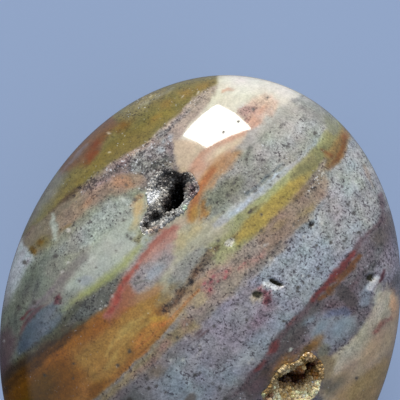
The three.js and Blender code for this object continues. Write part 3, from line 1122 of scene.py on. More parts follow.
    Band("ember field", Tone.EMBER, "-9.6:6.6:7.8 -8:6.6:8.4 -6.6:6.7:9.2 -5.4:6.6:9.4 -4.6:6.6:9",
         soft=0.6, cover=0.9, dark=0.15),
    Spot("apricot under the patch", Tone.APRICOT, "-4:6.7:1.3:0.5:-8 -2.2:6.4:1:0.4:0", soft=0.6, cover=0.8,
         dark=0.15),
    Vein("crimson thread", Tone.BRICK, "-9.4:7.7:0.35 -8:8.1:0.55 -6.8:8.8:0.6 -5.4:9.5:0.45 -4:9.95:0.36 "
         "-2.6:10.3:0.3 -1.2:10.8:0.24 0.2:11.1:0.28 1.8:11.4:0.36 3.4:11.4:0.36 4.6:11.3:0.2", soft=0.6,
         cover=0.95),
    Spot("scarlet smears", Tone.SCARLET, "-7.2:8.4:0.7:0.25:35 -6.6:8.8:0.5:0.3:30 -5.9:9.35:0.5:0.25:25 "
         "-4.2:9.85:0.8:0.3:15 -2.4:10.15:0.35:0.3:20 -3.2:10.1:0.4:0.2:0 -8.2:7.9:0.5:0.2:10", soft=0.35,
         cover=0.7, ragged=0.2),
    Vein("rosy line over the pink", Tone.BRICK, "-1:11:0.08 1:11.3:0.12 3:11.6:0.14 4.4:11.5:0.08",
         soft=0.25, cover=0.8, dark=0.1, ragged=0.1),
    # The orange arc right of the smoky hollow, and the grey band under it.
    Band("rose band", Tone.ROSE,
         "10.6:13.8:16.2 12:14.4:16.6 14:14.6:16.6 17:14.4:16.3 19:14.6:15.7 20.6:15:15.4", dark=0.05,
         pale=0),
    Spot("cream in the rose band", Tone.LINEN, "15.4:15.3:1.7:0.5:-4 17.6:15:1.2:0.3:-6", soft=0.6,
         cover=0.85, dark=0),
    Vein("rose line", Tone.CORAL, "10.9:15.5:0.2 12.2:16.3:0.35 13.4:16.6:0.36 14.8:16.6:0.34 "
         "16.4:16.35:0.3 18:15.9:0.34 19.2:15.5:0.34 20.2:15.2:0.2", soft=0.4, cover=0.95, dark=0.1,
         ragged=0.1),
    Spot("rose bloom", Tone.CORAL, "12.2:15.5:1.0:0.6:10", soft=0.7, cover=0.75, dark=0.05),
    Band("grey speckled band", Tone.SAGE_GREY,
         "8:9.4:10 10:9.2:11 13:9:12.8 16:8.8:13.5 20:8.6:14.8 24:8.4:15 27:8.8:14.8 34:9:14", soft=0.6,
         dark=0.6, pale=0.1),
    Band("green-grey of the band", Tone.SAGE, "9:9.6:10.6 11:9.5:12 13.6:9.6:12.2 15.4:10:11.4", soft=0.9,
         cover=0.8, dark=0.7),
    Band("silver of the band", Tone.PEARL, "19:9:12.4 21.4:9.4:13 24:10.2:13 26:10.4:12.2 27.4:9.2:10.6",
         soft=0.9, cover=0.75, dark=0.6, pale=0.2),
    Spot("chalk in the band", Tone.DOVE, "23.8:12.6:2.4:0.7:-4 19.4:13.1:0.9:0.4:0 24.2:10.3:0.7:0.6:0",
         soft=0.8, cover=0.85, dark=0.3, pale=0.2),
    Band("dove edge", Tone.DOVE, "17.4:13.3:14.2 20:13.6:15 23:13.4:15.2 27:13:15", soft=0.7, cover=0.85,
         dark=0.1),
    Spot("smoke in the band", Tone.MOSS_GREY, "17.4:12.4:0.7:0.35:45 18.2:13.1:0.5:0.2:20", soft=0.45,
         cover=0.75, dark=0.8),
    Vein("dark vein at the rim", Tone.LEAD, "27:9.4:0.15 27.4:10.8:0.22 27.6:11.8:0.18 26.8:14.9:0.1",
         soft=0.4, cover=0.6, dark=0.7),
    Spot("shaded rim of the band", Tone.SAGE_GREY, "28.4:11.6:0.9:2.4:0", soft=0.9, cover=0.8, dark=0.3),
    Vein("orange arc", Tone.APRICOT, "6.8:10.9:0.35 8:11.9:0.55 9.2:12.5:0.7 10.6:13.2:0.85 12:13.8:0.85 "
         "13.6:14.2:0.75 15:14.3:0.5 16.4:14.2:0.2", soft=0.75, dark=0.15, pale=0, ragged=0.2),
    Vein("rusty root of the arc", Tone.RUSTY_ORANGE,
         "7.2:11.2:0.2 8.4:12.1:0.4 9.8:12.9:0.5 11.4:13.6:0.45 13.2:14:0.25", soft=0.6, cover=0.85,
         dark=0.3, ragged=0.2),
    Spot("amber smear", Tone.OCHRE, "7.8:11.3:0.9:0.45:38 9:10:0.6:0.3:30", cover=0.85),
    Spot("tawny prong", Tone.ORANGE, "8.8:10.7:0.9:0.3:50 9.3:11.3:0.5:0.25:30", soft=0.45, cover=0.8,
         dark=0.4),
    Vein("straw under the arc", Tone.APRICOT, "11.4:12.6:0.3 13:13:0.35 15:13.4:0.35 17:13.7:0.3", soft=0.7,
         cover=0.85, dark=0.1),
    Spot("salmon patch", Tone.SALMON, "21.6:16.3:1.5:1.4:0 23.8:16.4:1.3:1.5:10 22.4:17.5:1.4:0.7:0",
         soft=0.6, cover=0.95, dark=0.25),
    Spot("rosy part of the patch", Tone.CORAL, "21.2:15.8:0.9:0.7:0 22.8:16.2:0.8:0.4:0", soft=0.6,
         cover=0.8),
    Spot("umber dust", Tone.ROSE_GREY, "21:17.4:0.9:0.6:0 22.1:17:0.5:0.6:0 20.6:16.5:0.4:0.5:0", soft=0.4,
         cover=0.65, dark=0.9),
    Vein("peach streak on the cream", Tone.CORAL, "20.4:21.4:0.1 21.1:21.1:0.16 21.6:20.6:0.1", soft=0.25,
         cover=0.8, dark=0, ragged=0.1),
    Spot("ivory", Tone.BONE, "24.4:21:3:2.4:-50 27:17:3:1.6:-60", soft=1.6, cover=0.8, dark=0, pale=0),
    # The white streak, the gold band and the rust at its end.
    Band("blue-white streak", Tone.CLOUD,
         "8.6:8:8.5 10:7.8:8.6 12:7.5:8.6 15:7.6:8.5 18:7.7:8.6 21:7.8:8.5 23:8:8.4", soft=0.35, dark=0.3,
         pale=0.1),
    Spot("blue in the streak", Tone.ICE, "13.2:7.95:1.5:0.33:2 18.8:8.35:1.4:0.22:2 16.2:8.2:0.6:0.2:0",
         soft=0.3, cover=0.85, dark=0.3),
    Spot("speckled end of the streak", Tone.STEEL, "24.6:8.5:2:0.45:8", cover=0.8, dark=0.6),
    Vein("slate line", Tone.SLATE, "14.6:8.95:0.18 17:9:0.3 19:9.1:0.3 20.6:9.15:0.12", soft=0.4,
         cover=0.75, dark=0.7),
    Band("lime edge", Tone.LIME,
         "6.6:6.1:6.9 10:6:7.5 14:6.2:7.5 18:6.4:7.6 22:6.4:7.9 25:6.8:8 28:7.6:9 34:7:10", dark=0.35),
    Spot("pale start of the lime", Tone.LICHEN_CREAM, "8.4:7.1:1.4:0.5:0", soft=0.6, cover=0.8),
    Band("gold band", Tone.GOLD, "9.6:4.3:4.9 11:4.25:5.8 12.4:4.2:6.3 14:4.3:6.5 16:4.5:6.6 18:4.9:6.8 "
         "20:5.4:6.8 22:5.9:6.5 23.4:6.1:6.3", soft=0.8, dark=0.35),
    Band("bright gold", Tone.GOLD, "12.4:4.6:5.5 14.4:4.6:6 16.4:4.9:6.2 18.6:5.4:6.4 20:5.7:6.3", soft=0.6,
         cover=0.85, dark=0.3),
    Vein("brown bar in the gold", Tone.OLIVE, "13.2:6.8:0.12 14.4:6.75:0.16 15.8:6.6:0.1", soft=0.25,
         cover=0.8, dark=0.6, ragged=0.1),
    Band("khaki end", Tone.KHAKI_GREEN, "20.4:6.7:7.3 22.4:6:7.9 24:5.8:8 26.4:6.5:8.3 28.4:7.2:8.8 30:8:9",
         soft=0.7, cover=0.85, dark=0.35),
    Band("rust end", Tone.AMBER_BROWN, "24.2:5:5.5 26:4.8:6.8 27.4:5.1:7 29:6:7.7 30.4:6.9:8.4", soft=0.7,
         cover=0.95, dark=0.4),
    Vein("rust core", Tone.CHESTNUT, "24.8:5.1:0.15 26.4:5.2:0.3 27.8:5.7:0.25 29.4:6.9:0.3", cover=0.75,
         dark=0.3),
    Vein("brown crack in the rust", Tone.CHESTNUT, "25.8:7.5:0.1 26.1:6.8:0.18 26.4:6:0.2", soft=0.25,
         cover=0.8, ragged=0.1),
    Spot("olive rim", Tone.SAGE, "28.8:9.2:0.8:1.5:-10", soft=0.7, cover=0.85, dark=0.3),
    Band("brown stripe", Tone.BRONZE, "18.6:4.3:5 20.6:4.1:5 22.6:4.3:5 24.4:4.8:5.6", cover=0.6, dark=0.5),
    Vein("dotted seam", Tone.BEIGE, "20.4:4:0.35 22.4:4.6:0.45 24.6:5.7:0.4 25.2:6.1:0.2", soft=0.4,
         cover=0.85, dark=1, pale=0.9, ragged=0.2),
    Spot("peach belly", Tone.KHAKI, "15.4:3.2:1:0.5:0 19.6:2.4:0.9:0.3:0", soft=0.6, cover=0.75, dark=0.4),
    Spot("red dust", Tone.PINK, "3.6:2.6:1:0.7:20 5:2.9:1:0.5:0 6.1:2.5:0.9:0.6:0 3.2:1.9:0.5:0.4:0 "
         "8.2:2:0.9:0.4:0 10.8:1.6:0.9:0.3:0 4.4:3.5:0.8:0.3:0", soft=0.7, cover=0.7, dark=0.6, ragged=0.4),
    Spot("scarlet specks", Tone.CHERRY,
         "3.2:3.2:0.3:0.2:0 4:2.8:0.35:0.22:20 3.3:2.1:0.35:0.22:20 4.7:3.2:0.3:0.2:0 5.8:2.1:0.35:0.25:0 "
         "6.3:2.7:0.3:0.25:0 4.8:2.3:0.25:0.18:0 7.9:1.9:0.3:0.16:0 8.9:2.1:0.25:0.16:0", soft=0.2,
         cover=0.7, dark=0.5, ragged=0.15),
    Spot("lime wash", Tone.MINT, "26.9:0.8:0.7:0.9:0 20:-0.1:0.3:0.25:0", soft=0.7, cover=0.7, dark=0.6),
    Spot("white wash", Tone.MOON, "25.6:1:1:0.8:0 27.4:3.4:0.9:0.9:0", soft=0.8, cover=0.6, dark=0.5),
    Vein("brown rim", Tone.FALLOW, "28.2:-0.6:0.15 28.4:1:0.2 28.9:2.4:0.2", soft=0.4, cover=0.7, dark=0.6),
    # The crimson vein, and the fields under it.
    Band("plum field", Tone.PLUM_GREY, "-34:-34:-21 -22:-34:-16.6 -12:-34:-12.6 -6:-34:-10.4 -3:-34:-9.8 "
         "0:-34:-9.9 4:-34:-9.2 8:-34:-8.2 12:-34:-7.6 17:-34:-6.8 21:-34:-6 24:-34:-5 34:-34:-3", soft=0.6,
         dark=0.7, pale=0.25),
    # Bands on the side towards -t, beyond the two hollows.
    Band("cream ribbon", Tone.MILK,
         "-26:-25.4:-22.6 -18:-23.6:-20 -10:-22.4:-18.4 -4:-21.6:-18.6 2:-20.6:-18.8 6:-19.8:-18.9",
         soft=1.0, dark=0.3, ragged=0.4),
    Vein("rusty hem of the ribbon", Tone.COPPER,
         "-24:-22.2:0.3 -17:-19.6:0.6 -10:-18:0.5 -4:-18.2:0.4 1:-18.6:0.2", soft=0.6, cover=0.85, dark=0.5,
         ragged=0.3),
    Band("ash band", Tone.ASH, "-30:-17:-13.4 -20:-14.4:-9.6 -12:-12.6:-9 -7:-11.4:-9.6", soft=1.2,
         cover=0.8, dark=0.7, ragged=0.4),
    Spot("slate lens of the side", Tone.SLATE, "-17:-8.2:3.6:1.2:-14", soft=0.9, cover=0.85, dark=0.35,
         ragged=0.4),
    Vein("wine thread of the side", Tone.WINE, "-28:-12.6:0.2 -22:-10.2:0.4 -15:-9.6:0.35 -9:-9.7:0.2",
         cover=0.8, dark=0.4),
    Spot("rosy cloud of the side", Tone.ROSE_TAUPE, "-24:-4:3:1.4:-14 -27:-7:2:1:0", soft=1.2, cover=0.75,
         dark=0.6),
    Band("umber field", Tone.UMBER, "-1.4:-12.6:-10.2 2:-12.4:-10 5:-11.6:-9.3 8:-10.8:-8.8 10:-10:-8.6",
         soft=0.8, cover=0.85, dark=0.5),
    Band("dusk under the vein", Tone.IRON, "6:-9.2:-8 9:-9:-7.9 12:-8.6:-7.8 14:-8.8:-7.8", cover=0.7,
         dark=0.5),
    Spot("violet speckled field", Tone.PLUM_GREY,
         "15.6:-9.6:1.6:2:0 19.4:-8.8:2.4:1.2:20 22:-7.8:2.4:1.2:30 16.6:-12.4:1.2:1.4:0", soft=1.0,
         cover=0.8, dark=0.8, pale=0.35),
    Spot("violet shade", Tone.PLUM, "14.4:-9.2:1.3:0.5:-25 16:-10.8:0.7:0.9:0 18.4:-8.7:1.2:0.4:15",
         soft=0.7, cover=0.85, dark=1, pale=0.1),
    Spot("taupe tongue", Tone.UMBER, "16.6:-9.3:0.8:1.8:0", soft=0.7, cover=0.9, dark=0.5),
    Spot("taupe rim", Tone.TAUPE, "25:-6:1.8:0.8:40 26.8:-5:1.4:0.7:40", soft=0.9, cover=0.85, dark=0.5),
    Spot("grey dust below the vein", Tone.ASH,
         "21.6:-8.9:1.2:0.6:30 23.4:-7.8:0.9:0.5:30 18.9:-8:0.9:0.3:10", soft=0.7, cover=0.7, dark=0.8,
         pale=0.3),
    Spot("blue field", Tone.STEEL, "12.2:-10.8:2.4:1.4:0 11.4:-12.2:2:1.5:0 13.6:-12.2:2:1.5:0", soft=0.8,
         cover=0.95, dark=0.35),
    Spot("blue heart of the field", Tone.HAZE_BLUE, "11.6:-10.6:1.2:0.5:10 13.4:-12:1.2:0.6:0", soft=0.8,
         cover=0.8, dark=0.1),
    Spot("indigo shade", Tone.INDIGO, "14.2:-10.3:1.4:0.5:-25 15.2:-11:0.5:0.6:0", cover=0.8, dark=0.5),
    Spot("blue-violet lights", Tone.HAZE_BLUE,
         "18.3:-11.3:0.9:0.4:20 19.3:-10.6:0.7:0.45:0 11:-9:0.9:0.3:0", cover=0.65, dark=0.3),
    Band("lilac rim below", Tone.ORCHID, "19:-13:-11.4 20:-12.8:-10.8 22:-11.4:-8.8 25:-11:-8 34:-12:-8",
         soft=0.7, cover=0.85, dark=0.8),
    Vein("crimson streak at the rim", Tone.DARK_WINE, "21.2:-10.7:0.1 21.9:-10.3:0.28 22.6:-9.9:0.15",
         soft=0.25, dark=0.5, ragged=0.1),
    Spot("white sparkle", Tone.SNOW, "20.2:-10.3:0.7:0.32:10 21:-10:0.45:0.3:-30 19.7:-10.5:0.3:0.3:0",
         soft=0.2, dark=0.3, pale=1, ragged=0.15),
    Spot("cream corner", Tone.CREAM, "19.8:-11.9:1.4:0.55:35", cover=0.9, dark=0.3, pale=0.1),
    Vein("crimson vein", Tone.PLUM, "-3:-10.7:0.12 0:-10.2:0.25 3:-9.6:0.35 5:-8.9:0.4 7:-8.3:0.35 "
         "9:-7.9:0.35 11:-7.7:0.3 13:-7.2:0.4 15:-6.7:0.45 17:-6.4:0.5 19:-6.2:0.5 21:-5.7:0.45 "
         "22.5:-5:0.45 24:-4.7:0.45 25.5:-4.8:0.4 26.6:-4.4:0.4 27.6:-3.2:0.3 28.2:-2:0.2", soft=0.45,
         cover=0.9, dark=0.6),
    Vein("scarlet of the vein", Tone.GARNET,
         "12.8:-7.2:0.12 14:-6.9:0.34 16:-6.6:0.42 18:-6.3:0.42 20:-6:0.38 21.4:-5.6:0.16", soft=0.35,
         cover=0.95, dark=0.4),
    Spot("scarlet flecks", Tone.GARNET, "8.6:-7.9:0.7:0.22:10 5:-8.95:0.9:0.32:15 2.4:-9.6:0.6:0.2:10",
         soft=0.35, cover=0.85, dark=0.4),
    Vein("rust of the vein", Tone.CHESTNUT,
         "13.8:-7.6:0.15 15:-7.6:0.36 16.5:-7.4:0.36 18.3:-7.1:0.42 20:-6.8:0.36 21.2:-6.4:0.15", soft=0.4,
         cover=0.9, dark=0.4),
    Spot("ochre in the rust", Tone.CHESTNUT, "19.2:-6.9:0.7:0.3:10 15.4:-7.3:0.5:0.2:5", soft=0.35,
         cover=0.8, dark=0.4),
    # Round the honey hollow, and the lowest fields.
    Band("pale ledge", Tone.LINEN, "8:-17.2:-14.6 10:-17.6:-14.4 13:-17.4:-14.3 16:-17:-13.9 18:-16.4:-13 "
         "20:-15.6:-12 21.6:-14.6:-11.6", soft=0.6, dark=0.3),
    Spot("stone-white ledge", Tone.STONE_WHITE, "18.8:-13.5:1.5:0.5:34 12:-15.4:1.2:0.4:4", soft=0.6,
         cover=0.75, dark=0.3),
    Spot("olive start of the ledge", Tone.BUTTER, "9.8:-15.1:0.9:0.5:10", soft=0.6, cover=0.8),
    Band("fawn field", Tone.FAWN,
         "6:-20:-16.8 9:-20:-16.6 13:-20:-16.2 17:-20:-15.7 20:-20:-15 22:-18:-13.6", soft=1.0),
    Spot("dim start of the fawn", Tone.KHAKI, "9:-17.8:1.8:0.9:0", soft=0.9, cover=0.8),
    Spot("peach light of the fawn", Tone.PEACH, "15.2:-17:1.5:0.7:10 17.6:-17.2:1:0.6:30", soft=0.8,
         cover=0.7, dark=0.15),
    Band("ochre foot", Tone.PALE_OCHRE, "-16:-34:-27 -8:-34:-24.6 -1:-34:-22 4:-34:-19.6 7.6:-34:-18.9 "
         "10:-34:-18.6 13:-34:-18.8 16:-34:-19.2", soft=0.8, cover=0.9),
    Band("tan heart of the side", Tone.TAN,
         "-11:-34:-28.4 -4:-34:-25.8 3:-34:-23.2 10:-34:-22.6 15:-34:-26.4", soft=0.8, cover=0.85, dark=0.4,
         ragged=0.5),
    Vein("cream line of the side", Tone.CREAM, "-12:-26.6:0.2 -5:-24.4:0.35 2:-21.8:0.3 7:-20.9:0.15",
         cover=0.7, dark=0.1, ragged=0.3),
    Spot("moss spots of the side", Tone.OLIVE_DRAB,
         "-2:-25.4:1.6:0.6:-20 7:-23.4:1.2:0.5:0 11:-24:0.8:0.5:20", soft=0.8, cover=0.7, dark=0.5,
         ragged=0.4),
    Spot("orange rim", Tone.LIGHT_ORANGE, "20.8:-14.1:1.6:0.45:55", soft=0.6, cover=0.95),
    Spot("rust bar", Tone.BRICK, "18:-15.2:0.9:0.35:8 17:-15.5:0.5:0.25:0 19:-15.3:0.5:0.2:0", soft=0.35,
         cover=0.75, dark=0.5),
    Band("khaki ring", Tone.KHAKI, "7:-17.8:-16.2 8:-17.2:-14 9.2:-16.4:-12.8 10.2:-15.2:-13", soft=0.6,
         cover=0.85),
    Spot("blue-grey by the ring", Tone.SAGE, "10:-13.1:0.8:0.7:0", cover=0.8, dark=0.4),
    Spot("moss foot", Tone.KHAKI_GREY, "7.6:-16.9:1:0.6:0 8.4:-17.8:1.4:0.5:0", soft=0.6, cover=0.8,
         dark=0.25),
    Spot("honey stain", Tone.ORANGE, "4.8:-11.3:2.4:0.75:0 9.4:-11.9:1.4:0.6:10", soft=0.7, cover=0.85,
         dark=0.3, pale=0.1),
    Spot("golden edge of the hollow", Tone.DARK_GOLD, "4:-11.6:1.8:0.4:10 7.6:-12:0.9:0.4:-10", soft=0.4,
         cover=0.8, dark=0.5, pale=0.4),
    Spot("green-white crumbs", Tone.GREEN_GLINT, "6.6:-10.4:0.35:0.3:0 5.9:-10.9:0.25:0.2:0", soft=0.25,
         cover=0.9, pale=0.6),
    Spot("plum in the stain", Tone.PLUM, "7:-11:0.8:0.35:0 3.4:-10.7:0.9:0.25:0", cover=0.8, dark=0.4),
    Spot("dusky side of the stain", Tone.DARK_BROWN, "1.8:-11.2:1.3:0.6:20", soft=0.6, cover=0.85, dark=0.4),
    Spot("russet end of the stain", Tone.OLIVE_BROWN, "8.5:-11.8:0.7:0.35:0", soft=0.4, cover=0.85,
         dark=0.3),
    Spot("taupe left of the stain", Tone.PLUM, "0.6:-11.5:1.3:0.6:10", soft=0.6, cover=0.8, dark=0.3),
    # Flecks that stand out one by one.
    Spot("cherry fleck", Tone.PLUM, "-1.2:-1.4:0.6:0.25:0 -0.9:-1.9:0.7:0.18:0", soft=0.25, cover=0.9,
         ragged=0.08),
    Spot("tan fleck", Tone.TAUPE, "-7.4:-7.5:0.8:0.5:0", soft=0.4, cover=0.8),
    Spot("fawn fleck", Tone.DRAB, "-8.6:-2:0.9:0.6:-10", soft=0.8, cover=0.8, dark=0.5),
    Spot("crimson crumbs", Tone.ROSE_RED, "8.4:-1.9:0.4:0.35:0 8.7:-2.7:0.45:0.45:10 8.3:-3.5:0.6:0.5:0",
         soft=0.4, cover=0.85, dark=1, pale=0.3, ragged=0.35),
    Spot("crimson heart", Tone.DARK_WINE, "8.2:-3.5:0.35:0.3:0 8.6:-2.5:0.2:0.2:0", soft=0.25, cover=0.8,
         dark=0.6, ragged=0.15),
    Spot("umber crumbs by the crimson", Tone.BISCUIT, "7.3:-2.2:0.7:0.5:-10 7.9:-1.6:0.5:0.35:0", soft=0.4,
         cover=0.85, dark=1, pale=0.6, ragged=0.3),
    Spot("cream crumbs by the crimson", Tone.MILK,
         "6.9:-1.9:0.3:0.3:0 6.8:-2.7:0.4:0.25:0 7.5:-2.9:0.35:0.25:0 8.9:-1.9:0.2:0.2:0", soft=0.3,
         cover=0.85, dark=0.3, pale=0.5),
    Spot("white lip", Tone.SNOW, "9.6:-2.1:0.8:0.28:-60 10.2:-3:0.6:0.22:-40 10.9:-3.3:0.3:0.16:0",
         soft=0.25, dark=0.5, pale=0.4, ragged=0.1),
)

DARK_FLECKS = Fleck(
    "dark flecks",
    Tone.SHADOW,
    "-10.9:-3.1:0.35 -13.7:-2.7:0.45 -9.9:-3.4:0.3 -15.2:-0.9:0.25 -10.3:-1.9:0.25 -10:2.15:0.22 "
    "-9.8:2.3:0.2 -12.2:1.7:0.22 -17.8:4:0.2 -16.6:5.4:0.2 -20.4:6.6:0.22 -16.8:13.3:0.2 -15.6:14.7:0.3 "
    "-14.1:12.1:0.2 -12.9:12.7:0.2 -9.7:17.8:0.3 -13.5:19.7:0.32 -17.7:15.4:0.25 -18.8:10.5:0.2 "
    "-16.2:10.9:0.2 -11.2:10.8:0.22 -9.4:13.3:0.18 -6.6:13.5:0.2 -3:9:0.2 -0.9:14.3:0.22 -0.7:13.7:0.3 "
    "-3.2:13.5:0.2 -0.5:20.5:0.18 1.2:20.1:0.2 -1:19.8:0.15 3.3:20.5:0.18 3.1:19.5:0.18 0.2:18:0.15 "
    "2.2:18.4:0.18 0:16.1:0.2 2.8:17.3:0.2 -6.2:20.3:0.2 -5.4:20:0.15 17.2:17.1:0.25 19.5:16.9:0.28 "
    "18.3:17.4:0.14 24.4:17:0.2 22:17:0.25 16.4:11:0.22 16.8:10.2:0.2 14.2:11:0.2 17.3:12.4:0.35 "
    "17.8:12.8:0.3 14:12:0.18 12.6:10.3:0.18 10.8:8.9:0.2 23.4:13:0.18 24:13.1:0.14 26.4:9.7:0.18 "
    "20.5:11.9:0.2 22.6:10.4:0.16 15.6:8.6:0.2 17.7:8:0.14 19.2:8.1:0.14 18.7:0.65:0.38 21.6:0.55:0.26 "
    "22.4:-0.1:0.22 17.6:-1.9:0.24 19.5:-1.9:0.2 19.3:-2.7:0.28 24:-1.6:0.25 20.7:-3.7:0.25 21.2:-3.6:0.2 "
    "23:-4:0.24 20.1:-4.4:0.2 12.4:-4.7:0.26 13.3:-4.6:0.22 12:-5:0.2 15.8:-4.4:0.24 14.3:-4.2:0.2 "
    "19.3:2:0.2 17:2:0.2 14.5:5.7:0.25 10.5:4:0.14 13.1:4:0.16 9.9:2.4:0.24 14.2:1.3:0.22 7.9:6.4:0.2 "
    "6:6.4:0.16 13.5:6.8:0.25 4.7:7.7:0.18 6.1:1.8:0.2 0.1:1.7:0.2 -3.8:-0.2:0.2 4.6:-4:0.26 4.2:-4.8:0.2 "
    "5.4:-4.2:0.18 -3.9:-7.7:0.2 -2.5:-3.3:0.22 -5:-5.4:0.25 -4.4:-5.6:0.2 0:-5.1:0.2 0.7:-2:0.2 "
    "8.2:-7:0.28 8.5:-7.2:0.2 5:-1.6:0.18 7.6:-9.6:0.2 20.6:-8.4:0.22 22:-8.6:0.2 11.2:-18.7:0.25 "
    "10.6:-13.4:0.22 13:-13.6:0.2 24.4:-7:0.25 24:-0.2:0.25 25.6:2.6:0.18 22.6:2.2:0.15 -3.8:-10.2:0.25 "
    "-9.5:-4.9:0.25 -3.6:-8.6:0.25",
    soft=0.17,
    cover=0.85,
    ragged=0.1,
)
PALE_FLECKS = Fleck(
    "pale flecks",
    Tone.BONE,
    "-3.1:-0.9:0.22 -2.2:-2.7:0.22 -5:-2.9:0.24 -3.2:-3.6:0.2 -2.7:-3.5:0.2 -6.4:-2:0.14 17.1:0:0.22 "
    "19.9:-0.1:0.2 13.7:-3.9:0.16 12.3:2.2:0.28 12.6:2.1:0.22 -9:16.3:0.22 -10.4:15.7:0.2 -6.4:19.4:0.35 "
    "-8.6:8.8:0.16 -9.4:8.9:0.18 -7.2:9.2:0.16 -2.2:8.7:0.2 -2:7.7:0.14 -12:18:0.12 -1.6:3.8:0.14 "
    "11.7:0.3:0.16 2:-8.4:0.2 1.4:-8.5:0.16 6.6:-9:0.16 -0.3:23.1:0.14 5.5:26.2:0.25 17.8:23.2:0.14 "
    "16:24.1:0.12 4:24.2:0.14 9:22:0.12 6.6:-10.4:0.25 -17.6:16.6:0.1 20.3:-10.2:0.45 20.9:-10.4:0.4 "
    "19.7:-10.5:0.3 20.8:18.1:0.12 21.3:18.3:0.12 -1.9:0.5:0.14 5.4:-2.8:0.12 -3:-2.2:0.12 8.2:24.6:0.1 "
    "12.8:26.7:0.14 -22:13.2:0.16 24:4.8:0.2",
    soft=0.16,
    cover=0.7,
    ragged=0.08,
)
FLECKS: tuple[Mark, ...] = (
    Spot("black bead", Tone.INK, "2:4.35:0.36:0.3:10", soft=0.15, dark=0, ragged=0.08),
    DARK_FLECKS,
    PALE_FLECKS,
)

# The crystals of the smoky hollow: a silvery crust with a white ledge and a black core. The black core is
# partly the crystals' own smoky colour and partly painted shade. Painted shade also darkens the pockets,
# clefts, groove floor, upper wall and edges of the mouth, and painted light brightens the lower wall's edge
# and its green glint.
SMOKY_MARKS: tuple[Mark, ...] = (
    Band("grey druse", Tone.DOVE, "-34:-34:34 34:-34:34", soft=1.0, ragged=0.0),
    Spot("white ledge", Tone.SNOW, "5:16.2:1.3:0.7:15 4.2:15.9:0.6:0.5:0", soft=0.6),
    Spot("sparkling rim", Tone.SHELL, "6.4:17.7:1.3:0.35:8 4.6:17:0.6:0.3:40"),
    Spot("left ledge", Tone.SHELL, "1.3:13.9:0.5:0.35:30 1.5:12.8:0.6:0.25:-15", soft=0.4),
    # Partly the wall's own colour and partly painted shade on the upper wall.
    Spot("green-grey wall", Tone.IRON, "7.4:16.8:1.3:0.7:0 8.3:17.8:0.6:0.6:0", soft=0.7),
    # Painted shadow along the edges of the mouth.
    Spot("painted brown shadow", Tone.SOOT, "8.9:16.7:0.9:0.3:-35 3.1:15.05:0.5:0.2:0 9.9:15.9:0.5:0.25:-40",
         soft=0.4),
    Spot("streaky slope", Tone.SHELL, "2.8:13.4:0.8:0.7:-40"),
    Band("pale edge below", Tone.PEARL, "2.4:12:13 4:11.9:13.1 6:11.8:12.9 8:12.1:13.1", soft=0.4),
    # Pale crystals, painted brighter where light falls on the lower wall: partly painted light.
    Spot("bright edge", Tone.SHELL, "7:12.3:0.8:0.35:10 3.7:12.6:0.5:0.3:0", soft=0.3),
    # A painted glint.
    Spot("green glint", Tone.GREEN_GLINT, "7.3:12.3:0.35:0.2:0", soft=0.25),
    Spot("plum corner", Tone.PLUM, "9.5:13.6:0.8:0.5:20"),
    Spot("crimson crumbs", Tone.DARK_WINE, "9.4:13.35:0.3:0.15:0 9.9:13.3:0.2:0.12:0", soft=0.2),
    Spot("pale wall on the right", Tone.ROSE_TAUPE, "8.8:14.3:0.5:0.3:40 10.5:15.2:0.3:0.3:0", soft=0.4),
    Spot("pinkish crumbs", Tone.SALMON, "2:12.6:0.6:0.25:-15 10.1:13.6:0.3:0.2:0", soft=0.3, cover=0.8),
    # Painted shade in a small pocket.
    Spot("small dark pocket", Tone.SOOT, "1.85:13.6:0.3:0.32:0 1.9:13.1:0.25:0.2:0", soft=0.25),
    # Painted shade in the clefts.
    Spot("dark clefts", Tone.SOOT, "4.5:13.1:0.4:0.2:20 5.7:12.5:0.5:0.22:0 4.9:12.9:0.3:0.2:0", soft=0.3),
    # Painted shade on the floor of the shallow recess.
    Spot("groove floor", Tone.SHADOW, "3.7:14:0.9:0.5:-15"),
    # Partly the dark smoky crystals and partly painted shade in the deep recess.
    Spot("black core", Tone.INK, "6.2:14.2:1.3:0.8:10 8:14.9:1.5:1:20 9.2:15.6:0.7:0.6:0"),
)
